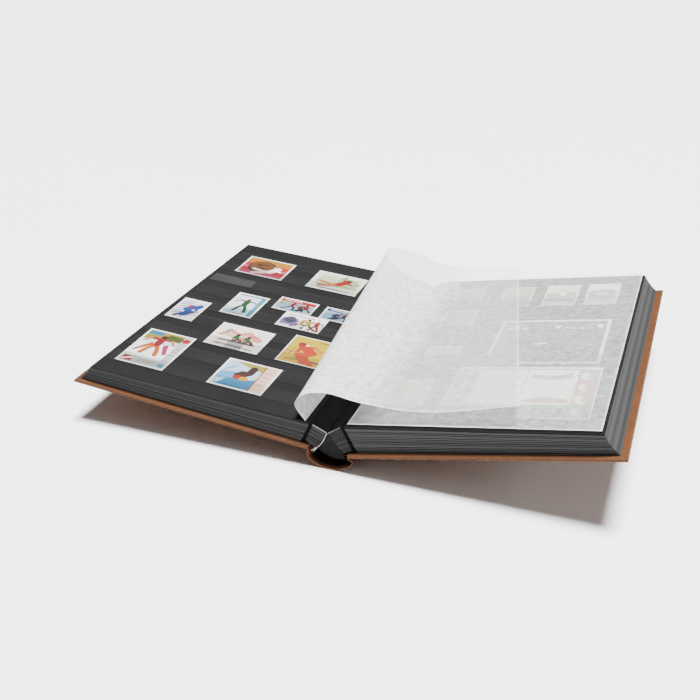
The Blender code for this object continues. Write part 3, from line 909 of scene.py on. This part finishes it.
class Canvas:
    """The inked areas of one stamp, drawn in unit coordinates and in colours of 0 to 255."""

    def __init__(self, width, height, margin):
        self.low = (-width / 2 + margin, -height / 2 + margin)
        self.size = (width - 2 * margin, height - 2 * margin)
        self.areas = []

    def spot(self, x, y):
        x = min(max(x, 0.0), 1.0)
        y = min(max(y, 0.0), 1.0)
        return (self.low[0] + x * self.size[0], self.low[1] + y * self.size[1])

    def area(self, colour, *points):
        self.cut(colour, [self.spot(*p) for p in points])

    def cut(self, colour, spots):
        """Keeps an area counter-clockwise, and leaves out what the picture's edge cut to nothing."""
        spots = [a for a, b in zip(spots, spots[1:] + spots[:1]) if math.dist(a, b) > 0.01]
        around = sum(a[0] * b[1] - b[0] * a[1] for a, b in zip(spots, spots[1:] + spots[:1]))
        if len(spots) > 2 and abs(around) > 0.02:
            self.areas.append((spots if around > 0 else spots[::-1], ink(*colour)))

    def bar(self, colour, x0, y0, x1, y1):
        self.area(colour, (x0, y0), (x1, y0), (x1, y1), (x0, y1))

    def disc(self, colour, x, y, across, tall=None, sides=20):
        """An ellipse; both diameters are shares of the picture's height."""
        tall = tall or across
        wide = across * self.size[1] / self.size[0]
        ring = [2 * math.pi * i / sides for i in range(sides)]
        self.area(colour, *[(x + wide / 2 * math.cos(a), y + tall / 2 * math.sin(a)) for a in ring])

    def line(self, colour, width, *points):
        """A thick line; its width is a share of the picture's height."""
        reach = width / 2 * self.size[1]
        spots = [self.spot(*p) for p in points]
        for (ax, ay), (bx, by) in zip(spots, spots[1:]):
            length = math.dist((ax, ay), (bx, by))
            if length < 1e-6:
                continue
            nx, ny = -(by - ay) / length * reach, (bx - ax) / length * reach
            corners = [(ax + nx, ay + ny), (ax - nx, ay - ny), (bx - nx, by - ny), (bx + nx, by + ny)]
            self.cut(colour, corners)
        for x, y in points:
            self.disc(colour, x, y, width, sides=8)

    def caption(self, colour, x0, x1, y, seed, tall=0.035):
        """A row of plain dashes where a stamp would carry its lettering."""
        strew = random.Random(seed)
        x = x0
        while x < x1:
            wide = strew.uniform(0.012, 0.03)
            self.bar(colour, x, y, min(x + wide, x1), y + tall)
            x += wide + strew.uniform(0.008, 0.016)

    def figure(self, pose, x, y, tall, shirt, legs, head=SKIN_TONE, flip=1):
        """A small plain athlete, hips at (x, y); tall is a share of the picture's height."""
        skull, body, arms, shanks = POSES[pose]
        narrow = self.size[1] / self.size[0]

        def place(point):
            return (x + flip * point[0] * tall * narrow, y + point[1] * tall)

        for limb in shanks:
            self.line(legs, 0.13 * tall, *[place(p) for p in limb])
        self.line(shirt, 0.22 * tall, *[place(p) for p in body])
        for limb in arms:
            self.line(shirt, 0.09 * tall, *[place(p) for p in limb[:2]])
            self.line(SKIN_TONE, 0.075 * tall, *[place(p) for p in limb[1:]])
        self.disc(head, *place(skull), 0.17 * tall)

    def rays(self, colours, count, seed):
        """Soft brush strokes strewn over the picture."""
        strew = random.Random(seed)
        for i in range(count):
            x, y = strew.uniform(0.05, 0.95), strew.uniform(0.08, 0.92)
            reach = strew.uniform(0.05, 0.16)
            lean = strew.uniform(-0.05, 0.05)
            tint = colours[i % len(colours)]
            self.line(tint, strew.uniform(0.02, 0.05), (x - reach, y), (x + reach, y + lean))


def draw_globe(c):
    bands = ((250, 196, 30), (248, 150, 36), (240, 84, 40), (244, 120, 170), (226, 60, 60), (240, 96, 150))
    for i, band in enumerate(bands):
        c.bar(band, 0, 1 - (i + 1) / 6, 1, 1 - i / 6)
    c.line((252, 210, 60), 0.03, (0.02, 0.7), (0.98, 0.74))
    c.disc((120, 82, 36), 0.42, 0.48, 0.8)
    c.disc((158, 114, 56), 0.4, 0.52, 0.66)
    for x, y, size in ((0.34, 0.6, 0.2), (0.46, 0.66, 0.14), (0.42, 0.4, 0.22), (0.3, 0.42, 0.1)):
        c.disc((112, 78, 34), x, y, size, size * 0.7, 10)
    c.figure("leap", 0.66, 0.3, 0.86, WHITE, (250, 226, 220), WHITE, -1)
    c.caption((110, 30, 20), 0.06, 0.8, 0.9, 1)


def draw_gymnast(c):
    c.bar((228, 232, 220), 0, 0, 1, 1)
    c.area((206, 224, 196), (0.04, 0.3), (0.1, 0.8), (0.4, 0.9), (0.5, 0.4))
    c.area((190, 218, 178), (0.4, 0.2), (0.5, 0.88), (0.9, 0.82), (0.96, 0.3))
    c.line((150, 190, 140), 0.02, (0.1, 0.34), (0.5, 0.4), (0.9, 0.3))
    c.line((130, 60, 44), 0.05, (0.12, 0.26), (0.5, 0.34))
    c.figure("leap", 0.56, 0.42, 0.98, (214, 40, 34), (226, 170, 130), (150, 70, 34), -1)
    c.bar((120, 126, 112), 0.1, 0.08, 0.64, 0.11)
    c.caption(BLACK, 0.2, 0.86, 0.04, 2, 0.06)


def draw_skater(c):
    c.bar((228, 236, 242), 0, 0, 1, 1)
    c.area((206, 222, 236), (0, 0), (0.7, 0), (0.9, 0.3), (0, 0.2))
    c.bar((120, 196, 218), 0.84, 0, 1, 0.94)
    c.bar((70, 150, 190), 0, 0.93, 1, 0.98)
    c.figure("arms_out", 0.48, 0.5, 0.62, (24, 132, 66), (22, 116, 58), (206, 44, 38))
    c.line((90, 96, 110), 0.015, (0.16, 0.12), (0.36, 0.22))
    c.line((90, 96, 110), 0.015, (0.6, 0.1), (0.78, 0.2))
    c.caption(BLACK, 0.1, 0.7, 0.03, 3)


def draw_ice_red(c):
    c.bar((196, 220, 238), 0, 0, 1, 1)
    c.bar((222, 52, 40), 0, 0.74, 1, 1)
    c.bar((250, 210, 90), 0.03, 0.5, 0.1, 0.78)
    c.figure("stride", 0.4, 0.42, 0.74, (190, 30, 34), BLACK, (190, 30, 34))
    c.figure("crouch", 0.62, 0.42, 0.8, (150, 24, 30), (60, 30, 30), BLACK)
    c.figure("stride", 0.84, 0.4, 0.66, (206, 60, 46), BLACK, (150, 24, 30), -1)
    c.caption(WHITE, 0.1, 0.6, 0.86, 4, 0.06)


def draw_ice_blue(c):
    c.bar((186, 216, 240), 0, 0, 1, 1)
    c.bar((40, 92, 170), 0, 0.76, 1, 1)
    c.figure("crouch", 0.28, 0.42, 0.84, (34, 60, 130), BLACK, (60, 40, 40))
    c.figure("stride", 0.56, 0.4, 0.74, (70, 50, 50), (30, 50, 110), BLACK)
    c.figure("stride", 0.8, 0.42, 0.8, (232, 160, 30), (40, 80, 160), (232, 160, 30), -1)
    c.caption(WHITE, 0.1, 0.6, 0.86, 5, 0.06)


def draw_ball(c):
    c.bar((240, 238, 240), 0, 0, 1, 1)
    c.area((164, 160, 212), (0, 0.12), (0.44, 0.12), (0.38, 0.66), (0, 0.62))
    c.disc((108, 104, 122), 0.2, 0.52, 0.46, 0.52, 12)
    c.bar((214, 76, 60), 0.06, 0.86, 0.72, 0.92)
    c.figure("stride", 0.5, 0.36, 0.66, (244, 206, 30), (206, 40, 40))
    c.figure("stride", 0.68, 0.38, 0.76, (240, 214, 40), (30, 120, 60), BLACK, -1)
    c.figure("arms_out", 0.87, 0.44, 0.74, (214, 46, 40), (206, 40, 40))
    c.disc(WHITE, 0.57, 0.2, 0.1)
    c.caption(BLACK, 0.06, 0.6, 0.04, 6)


def draw_skier(c):
    c.bar((232, 232, 242), 0, 0, 1, 1)
    for i in range(6):
        c.line((178, 176, 222), 0.05, (0.02, 0.2 + i * 0.12), (0.5, 0.34 + i * 0.12))
        c.line((150, 190, 232), 0.035, (0.5, 0.12 + i * 0.12), (0.98, 0.3 + i * 0.12))
    c.figure("crouch", 0.42, 0.5, 0.86, (38, 116, 198), (30, 96, 180), (50, 110, 180))
    c.disc((206, 60, 70), 0.5, 0.62, 0.14, 0.1, 10)
    c.line((60, 80, 130), 0.02, (0.14, 0.1), (0.8, 0.22))
    c.line((40, 60, 110), 0.02, (0.5, 0.7), (0.92, 0.76))
    c.caption(BLACK, 0.1, 0.6, 0.03, 7)


def draw_rowing(c):
    c.bar((238, 234, 230), 0, 0, 1, 1)
    c.area((246, 190, 176), (0.04, 0.44), (0.2, 0.84), (0.42, 0.7), (0.6, 0.86), (0.94, 0.6), (0.9, 0.44))
    c.area((242, 214, 204), (0.12, 0.44), (0.24, 0.7), (0.44, 0.56), (0.62, 0.72), (0.84, 0.44))
    c.bar((150, 150, 152), 0.16, 0.56, 0.22, 0.8)
    c.area((150, 76, 50), (0.1, 0.24), (0.9, 0.24), (0.82, 0.32), (0.16, 0.3))
    for x in (0.44, 0.66):
        c.figure("sit", x, 0.36, 0.62, (40, 140, 90), (120, 70, 50), (80, 50, 40))
    c.line((200, 90, 70), 0.018, (0.46, 0.44), (0.92, 0.8))
    c.line((200, 90, 70), 0.018, (0.3, 0.24), (0.7, 0.46))
    c.bar((170, 150, 146), 0.14, 0.08, 0.7, 0.12)
    c.caption(BLACK, 0.1, 0.9, 0.02, 8, 0.07)


def draw_slalom(c):
    c.bar((255, 230, 40), 0, 0, 1, 1)
    c.area((250, 214, 30), (0, 0), (1, 0), (1, 0.24), (0, 0.12))
    c.line((44, 84, 120), 0.03, (0.1, 0.12), (0.5, 0.16), (0.94, 0.1))
    c.line((80, 110, 140), 0.025, (0.2, 0.2), (0.9, 0.16))
    c.figure("crouch", 0.5, 0.46, 0.94, (238, 106, 34), (240, 120, 40), (214, 60, 40), -1)
    c.disc(WHITE, 0.32, 0.72, 0.07)
    c.line((120, 90, 40), 0.014, (0.12, 0.3), (0.14, 0.6))
    c.caption((90, 60, 20), 0.5, 0.95, 0.9, 9)


def draw_rider(c):
    c.bar((214, 220, 224), 0, 0, 1, 1)
    c.area((232, 236, 236), (0, 0.2), (0.82, 0.2), (0.82, 0.66), (0, 0.6))
    c.area((206, 190, 90), (0, 0.72), (0.82, 0.78), (0.82, 1), (0, 1))
    c.area((110, 130, 60), (0.4, 0.82), (0.82, 0.8), (0.82, 0.94), (0.5, 0.96))
    c.bar((80, 170, 206), 0, 0.88, 0.34, 0.99)
    c.bar((188, 192, 194), 0.82, 0, 1, 1)
    c.bar((176, 180, 182), 0, 0, 1, 0.18)
    c.bar((206, 40, 44), 0.04, 0.02, 0.26, 0.16)
    c.line(WHITE, 0.03, (0.06, 0.05), (0.24, 0.13))
    c.bar((206, 190, 80), 0.38, 0.06, 0.7, 0.085)
    c.bar((206, 190, 80), 0.38, 0.11, 0.74, 0.13)
    c.bar((90, 190, 220), 0.86, 0.03, 0.98, 0.12)
    c.area((240, 130, 50), (0.02, 0.34), (0.28, 0.66), (0.36, 0.6), (0.1, 0.34))
    c.area((220, 80, 150), (0.56, 0.62), (0.66, 0.66), (0.8, 0.38), (0.72, 0.36))
    c.figure("arms_out", 0.42, 0.62, 0.56, (190, 36, 46), (236, 150, 40), (90, 40, 30))
    c.disc((222, 40, 34), 0.91, 0.88, 0.13)
    for y, seed in ((0.6, 10), (0.5, 12), (0.4, 13)):
        c.caption(BLACK, 0.84, 0.97, y, seed, 0.02)


def draw_swimmer(c):
    c.bar((208, 228, 240), 0, 0, 0.74, 1)
    c.area((206, 196, 110), (0.1, 1), (0.74, 1), (0.74, 0.76), (0.4, 0.86))
    c.area((96, 182, 226), (0.1, 0), (0.74, 0), (0.74, 0.44), (0.5, 0.3), (0.24, 0.36))
    c.area((150, 208, 236), (0, 0.2), (0.3, 0.3), (0.44, 0.6), (0.2, 0.56), (0, 0.5))
    c.line((60, 150, 210), 0.03, (0.06, 0.6), (0.2, 0.78))
    c.line((96, 62, 44), 0.17, (0.36, 0.48), (0.54, 0.6), (0.56, 0.82))
    c.disc((110, 72, 52), 0.44, 0.54, 0.26)
    c.disc((220, 60, 50), 0.4, 0.4, 0.24, 0.16)
    c.disc((244, 210, 60), 0.52, 0.38, 0.2, 0.16)
    c.bar((248, 222, 208), 0.76, 0, 1, 1)
    c.bar((214, 96, 50), 0.74, 0, 0.765, 1)
    for i in range(4):
        c.bar((206, 150, 136), 0.8, 0.28 + i * 0.16, 0.94, 0.3 + i * 0.16)
    c.caption(BLACK, 0.04, 0.6, 0.03, 11)


def landscape(sky, hill, ground, accent, seed):
    """A drawing of a little view in bands, with a round accent, as pictorial stamps often have."""

    def draw(c):
        c.bar(sky, 0, 0, 1, 1)
        c.area(hill, (0, 0.3), (0, 0.62), (0.3, 0.74), (0.6, 0.58), (1, 0.7), (1, 0.3))
        c.area(ground, (0, 0), (1, 0), (1, 0.42), (0.5, 0.34), (0, 0.46))
        c.rays((ground, hill, accent), 14, seed)
        c.disc(accent, 0.56, 0.46, 0.2, 0.14, 12)

    return draw


def draw_garden(c):
    c.bar((236, 238, 234), 0, 0, 1, 1)
    c.area((120, 160, 70), (0, 0.16), (1, 0.16), (1, 0.42), (0, 0.38))
    c.area((244, 170, 60), (0, 0.38), (1, 0.42), (1, 0.6), (0, 0.54))
    c.area((236, 214, 110), (0, 0.54), (1, 0.6), (1, 0.7), (0, 0.66))
    c.rays(((230, 120, 50), (90, 140, 60)), 8, 5)
    c.figure("arms_out", 0.54, 0.52, 0.56, (250, 250, 250), (226, 130, 60), (226, 178, 140))


def draw_pond(c):
    c.bar((240, 240, 240), 0, 0, 1, 1)
    c.disc((150, 196, 226), 0.5, 0.36, 0.6, 0.3)
    c.disc((110, 170, 90), 0.5, 0.54, 0.58, 0.42)
    c.disc((236, 170, 90), 0.56, 0.64, 0.34, 0.2)
    c.disc((214, 226, 230), 0.42, 0.5, 0.24, 0.16)


def draw_forest(c):
    c.bar((58, 76, 66), 0, 0, 1, 1)
    c.bar((70, 120, 178), 0, 0.9, 1, 1)
    for i in range(12):
        tint = ((206, 60, 50), WHITE, (236, 190, 50), (60, 130, 70), (90, 150, 210))[i % 5]
        c.bar(tint, 0.03 + i * 0.08, 0.84, 0.085 + i * 0.08, 0.91)
        c.bar(WHITE, 0.03 + i * 0.08, 0.8, 0.085 + i * 0.08, 0.84)
    c.area((76, 140, 80), (0.1, 0.6), (0.36, 0.72), (0.66, 0.76), (0.86, 0.66), (0.96, 0.56), (0.5, 0.58))
    c.area((96, 168, 110), (0.4, 0.66), (0.6, 0.8), (0.78, 0.72), (0.7, 0.64))
    c.area((120, 176, 206), (0.3, 0.66), (0.52, 0.62), (0.5, 0.58), (0.28, 0.62))
    c.area((48, 62, 52), (0, 0), (1, 0), (1, 0.36), (0.6, 0.5), (0.3, 0.44), (0, 0.52))
    c.rays(((84, 110, 80), (40, 52, 44), (196, 150, 70), (120, 130, 96)), 46, 11)
    c.area((206, 130, 60), (0.74, 0.42), (0.84, 0.46), (0.94, 0.4), (0.86, 0.34))
    c.area(WHITE, (0.36, 0.44), (0.48, 0.47), (0.5, 0.44), (0.4, 0.41))
    c.area((200, 210, 90), (0.06, 0.1), (0.22, 0.16), (0.26, 0.1), (0.1, 0.06))


def draw_sports_block(c):
    c.bar((244, 242, 238), 0, 0, 1, 1)
    c.bar((214, 60, 56), 0.16, 0.955, 0.86, 0.985)
    left = ((70, 176, 160), (242, 160, 60), (238, 206, 90), (196, 176, 226))
    for i, tint in enumerate(left):
        c.bar(tint, 0, 0.97 - 0.24 * (i + 1), 0.16, 0.97 - 0.24 * i)
        c.figure("stride", 0.08, 0.85 - 0.24 * i, 0.18, WHITE, (120, 90, 80))
    right = ((188, 170, 222), (240, 140, 56), (240, 206, 56), (60, 160, 96))
    for i, tint in enumerate(right):
        c.bar(tint, 0.86, 0.97 - 0.24 * (i + 1), 1, 0.97 - 0.24 * i)
        c.figure("crouch", 0.92, 0.85 - 0.24 * i, 0.2, WHITE, WHITE, (120, 60, 40), -1)
    bottom = ((70, 120, 190), (90, 150, 210), (90, 170, 80), (120, 190, 90))
    for i, tint in enumerate(bottom):
        c.bar(tint, 0.16 + 0.175 * i, 0.0, 0.16 + 0.175 * (i + 1), 0.24)
        c.figure("leap" if i % 2 else "stride", 0.25 + 0.175 * i, 0.1, 0.2, (236, 210, 190), (226, 120, 70))
    hills = ((0.54, 0.86), (0.66, 0.82), (0.82, 0.88), (0.82, 0.78), (0.66, 0.74), (0.54, 0.78))
    c.area((120, 190, 130), *hills)
    c.area((226, 150, 110), (0.5, 0.3), (0.66, 0.4), (0.84, 0.34), (0.84, 0.28), (0.6, 0.28))
    c.line((110, 110, 120), 0.008, (0.51, 0.26), (0.51, 0.95))
    c.area((150, 160, 216), (0.41, 0.78), (0.44, 0.86), (0.47, 0.78))


PICTURES = {
    "left_stamp_globe": draw_globe,
    "left_stamp_gymnast": draw_gymnast,
    "left_stamp_skater": draw_skater,
    "left_stamp_ice_red": draw_ice_red,
    "left_stamp_ice_blue": draw_ice_blue,
    "left_stamp_ball": draw_ball,
    "left_stamp_skier": draw_skier,
    "left_stamp_rowing": draw_rowing,
    "left_stamp_slalom": draw_slalom,
    "left_stamp_rider": draw_rider,
    "left_stamp_swimmer": draw_swimmer,
    "right_stamp_leaf": landscape((200, 190, 130), (130, 120, 60), (120, 140, 70), (150, 100, 60), 1),
    "right_stamp_meadow": landscape((226, 230, 150), (170, 196, 90), (150, 180, 80), (226, 206, 110), 2),
    "right_stamp_garden": draw_garden,
    "right_stamp_pond": draw_pond,
    "right_stamp_bark": landscape((206, 176, 150), (150, 150, 90), (176, 130, 100), (236, 200, 60), 3),
    "right_stamp_lake": landscape((226, 200, 170), (130, 180, 140), (140, 196, 206), (150, 170, 100), 4),
    "right_stamp_desert": landscape((232, 214, 90), (150, 176, 90), (170, 190, 110), (230, 200, 70), 6),
    "right_stamp_forest_sheet": draw_forest,
    "right_stamp_sports_block": draw_sports_block,
}
MARGINS = {"right_stamp_forest_sheet": 3.2, "left_stamp_slalom": 1.2, "right_stamp_sports_block": 1.4}
FRAME_TINTS = {"right_stamp_desert": (240, 222, 90), "right_stamp_meadow": (240, 238, 190)}

# How far the inks under the glassine are faded, so that they read as pastels through it.
PASTEL_FADE = 0.22
FOREST_FADE = 0.05
HOLE_PITCH = 1.55
HOLE_RADIUS = 0.46
SHEET_MARGIN = 1.9
FRAME_MARGIN = 0.9
PAPER_THICK = 0.15


def perforated(width, height):
    """Outline of a stamp, with half round holes torn through along each side."""
    outline = []
    x, y = width / 2, height / 2
    corners = [(-x, -y), (x, -y), (x, y), (-x, y)]
    for (ax, ay), (bx, by) in zip(corners, corners[1:] + corners[:1]):
        length = math.dist((ax, ay), (bx, by))
        dx, dy = (bx - ax) / length, (by - ay) / length
        count = round(length / HOLE_PITCH)
        pitch = length / count
        outline.append((ax, ay))
        for i in range(count - 1):
            middle = (i + 1) * pitch
            for k in range(4):
                angle = math.pi * k / 3
                along = middle - HOLE_RADIUS * math.cos(angle)
                inward = HOLE_RADIUS * math.sin(angle)
                outline.append((ax + dx * along - dy * inward, ay + dy * along + dx * inward))
    return outline


def stamp_mesh(name, areas, outline):
    """The printed face as one mesh cut along every colour boundary, with paper below it."""
    points, faces = [], []
    for area in [outline] + [shape for shape, _ in areas]:
        faces.append(list(range(len(points), len(points) + len(area))))
        points += [Vector(p) for p in area]
    made = geometry.delaunay_2d_cdt(points, [], faces, 1, 1e-4)
    spots, triangles, owners = made[0], made[2], made[5]
    work = bmesh.new()
    tint = work.loops.layers.float_color.new("print")
    top = [work.verts.new((p.x, p.y, 0.0)) for p in spots]
    for corners, owner in zip(triangles, owners):
        if 0 not in owner:
            continue
        colour = PAPER if max(owner) == 0 else areas[max(owner) - 1][1]
        face = work.faces.new([top[i] for i in corners])
        for loop in face.loops:
            loop[tint] = (*colour, 1.0)
    for vert in [v for v in work.verts if not v.link_faces]:
        work.verts.remove(vert)
    bmesh.ops.recalc_face_normals(work, faces=work.faces)
    rim = [edge for edge in work.edges if len(edge.link_faces) == 1]
    grown = bmesh.ops.extrude_edge_only(work, edges=rim)["geom"]
    below = [item for item in grown if isinstance(item, bmesh.types.BMVert)]
    bmesh.ops.translate(work, vec=(0, 0, -PAPER_THICK), verts=below)
    low_edges = [e for e in grown if isinstance(e, bmesh.types.BMEdge) and all(v in below for v in e.verts)]
    bmesh.ops.edgeloop_fill(work, edges=low_edges)
    for face in work.faces:
        if abs(face.normal.z) < 0.5 or all(v.co.z < -PAPER_THICK / 2 for v in face.verts):
            for loop in face.loops:
                loop[tint] = (*PAPER, 1.0)
    bmesh.ops.recalc_face_normals(work, faces=work.faces)
    mesh = bpy.data.meshes.new(name)
    work.to_mesh(mesh)
    work.free()
    return mesh


def make_stamps():
    """Every stamp as a printed, perforated piece in its pocket."""
    for node, draw in PICTURES.items():
        slope = LEFT_LEAF_SLOPE if node.startswith("left") else RIGHT_LEAF_SLOPE
        centre, size = plate_of(node, slope, POCKET_TILT)
        margin = MARGINS.get(node, SHEET_MARGIN)
        canvas = Canvas(size.x, size.y, margin)
        if node in FRAME_TINTS:
            wide = Canvas(size.x, size.y, FRAME_MARGIN)
            wide.bar(FRAME_TINTS[node], 0, 0, 1, 1)
            canvas.areas += wide.areas
        draw(canvas)
        if node.startswith("right"):
            fade = FOREST_FADE if "forest" in node else PASTEL_FADE
            canvas.areas = [(shape, between(tint, PAPER, fade)) for shape, tint in canvas.areas]
        mesh = stamp_mesh(node + "_print", canvas.areas, perforated(size.x, size.y))
        mesh.transform(centre @ Matrix.Translation((0, 0, size.z / 2 * MM)) @ Matrix.Scale(MM, 4))
        mesh.materials.append(PRINT)
        body = "stamp_" + node.split("_stamp_")[1]
        dress(linked(node + "_print", mesh), body, "stamp_paper", node)


# ---------------------------------------------------------------- carried-over CAD nodes


def finish_cad_nodes():
    """Better materials on the CAD nodes that stay in view."""
    wear = {
        "left_top_leaf": PAGE_CARD,
        "right_top_leaf": PAGE_CARD,
        "front_board": BOARD,
        "back_board": BOARD,
        "front_endpaper": ENDPAPER,
        "back_endpaper": ENDPAPER,
        "spine_card": SPINE_CARD,
    }
    for node, thing in frame["nodes"].items():
        material = FILM if "_strip_" in node else wear.get(node)
        if material:
            thing.data.materials.clear()
            thing.data.materials.append(material)


FILM_THICK = 0.06
FILM_LIFT = 0.03
FILM_FOOT = 1.8
FILM_HEAD = 0.6
FILM_TEAR = 1.6


def make_film_patches():
    """Doubled bits of film on the left page: lighter rectangles, one with a rough torn foot."""
    patches = (
        ("doubled_film_1", "left_strip_3", -68.0, 44.0, True),
        ("doubled_film_2", "left_strip_7", -8.0, 15.0, False),
        ("doubled_film_3", "left_strip_8", 26.0, 46.0, False),
    )
    for name, strip, middle, wide, torn in patches:
        centre, size = plate_of(strip, LEFT_LEAF_SLOPE, POCKET_TILT)
        columns = 40
        lift = size.z / 2 + FILM_LIFT
        foot, head = [], []
        for i in range(columns + 1):
            x = middle + (i / columns - 0.5) * wide
            ragged = FILM_TEAR * noise.noise(Vector((x * 0.9, 0.0, 1.0))) if torn else 0.0
            foot.append((x, -size.y / 2 + FILM_FOOT + ragged))
            head.append((x, size.y / 2 - FILM_HEAD))
        top = [[centre @ (Vector((x, y, lift + FILM_THICK)) * MM) for x, y in row] for row in (foot, head)]
        under = [[centre @ (Vector((x, y, lift)) * MM) for x, y in row] for row in (foot, head)]
        dress(new_piece(name, *slab_mesh(top, under), MILKY_FILM), "left_page", "pocket_film")


# ---------------------------------------------------------------- stage


FLOOR_REACH = 60.0
SURROUND_STRENGTH = 0.13
SUN = {"place": (0.2, 0.35, 3.2), "strength": 15.0, "spread": 0.34}
LIGHTS = {
    "fill": {"place": (-0.9, -1.6, 1.1), "aim": (0.0, 0.0, 0.05), "size": 1.6, "power": 0.9},
    "side": {"place": (1.6, -0.3, 0.7), "aim": (0.1, 0.0, 0.03), "size": 0.8, "power": 8.0},
}
LENS_MM = 50.07
SENSOR_MM = 36.0
CAMERA_PLACE = (0.23296, -0.73233, 0.42009)
CAMERA_DOWN = 0.4704
CAMERA_TURN = 0.3527


def make_stage():
    """A wide pale floor and a dim white surround."""
    far = FLOOR_REACH
    corners = [(-far, -far, 0), (far, -far, 0), (far, far, 0), (-far, far, 0)]
    mesh = bpy.data.meshes.new("floor")
    mesh.from_pydata(corners, [], [(0, 1, 2, 3)])
    mesh.materials.append(floor_surface("pale_floor"))
    linked("floor", mesh)
    world = bpy.data.worlds.new("studio")
    bpy.context.scene.world = world
    world.use_nodes = True
    surround = world.node_tree.nodes["Background"].inputs
    surround["Color"].default_value = (1.0, 1.0, 1.0, 1.0)
    surround["Strength"].default_value = SURROUND_STRENGTH


def make_sun(name, place, strength, spread):
    """A far soft source that lights the whole floor evenly."""
    lamp = bpy.data.lights.new(name, "SUN")
    lamp.energy = strength
    lamp.angle = spread
    linked(name, lamp).rotation_euler = Vector(place).to_track_quat("Z", "Y").to_euler()


def make_light(name, place, aim, size, power):
    """A round soft lamp, turned towards a point."""
    lamp = bpy.data.lights.new(name, "AREA")
    lamp.shape = "DISK"
    lamp.size = size
    lamp.energy = power
    made = linked(name, lamp)
    made.location = place
    made.rotation_euler = (Vector(aim) - Vector(place)).to_track_quat("-Z", "Y").to_euler()


def make_camera():
    """The camera, looking down at the album from its front right."""
    lens = bpy.data.cameras.new("camera")
    lens.lens = LENS_MM
    lens.sensor_width = SENSOR_MM
    made = linked("camera", lens)
    made.location = CAMERA_PLACE
    made.rotation_euler = (math.pi / 2 - CAMERA_DOWN, 0.0, CAMERA_TURN)
    bpy.context.scene.camera = made


def main():
    """Builds the stage, then every piece of the album."""
    make_camera()
    make_stage()
    make_sun("key", **SUN)
    for name, settings in LIGHTS.items():
        make_light(name, **settings)
    make_case("front", "front_half", LEFT_COVER_SLOPE, -1)
    make_case("back", "back_half", RIGHT_COVER_SLOPE, 1)
    make_spine()
    make_lining()
    make_joints()
    make_stack("left", "front_half", LEFT_HINGE, LEFT_LEAF_SLOPE, LEFT_STACK_FOOT, LEFT_FORE_FOOT, -1)
    make_stack("right", "back_half", RIGHT_HINGE, RIGHT_LEAF_SLOPE, RIGHT_STACK_FOOT, RIGHT_FORE_FOOT, 1)
    make_guards("left", "left_guard_block", LEFT_HINGE, LEFT_BLOCK_FOOT, LEFT_GUARD_FOOT, -1)
    make_guards("right", "right_guard_block", RIGHT_HINGE, RIGHT_BLOCK_FOOT, RIGHT_GUARD_FOOT, 1)
    left = ("left", "left_guard_block", "front_half", LEFT_HINGE, LEFT_LEAF_SLOPE)
    right = ("right", "right_guard_block", "back_half", RIGHT_HINGE, RIGHT_LEAF_SLOPE)
    make_linen(*left, LEFT_GUARD_FOOT, LEFT_STACK_FOOT, -1)
    make_linen(*right, RIGHT_GUARD_FOOT, RIGHT_STACK_FOOT, 1)
    make_threads()
    make_turned_interleaf(make_flat_interleaf())
    make_stamps()
    make_film_patches()
    finish_cad_nodes()


main()
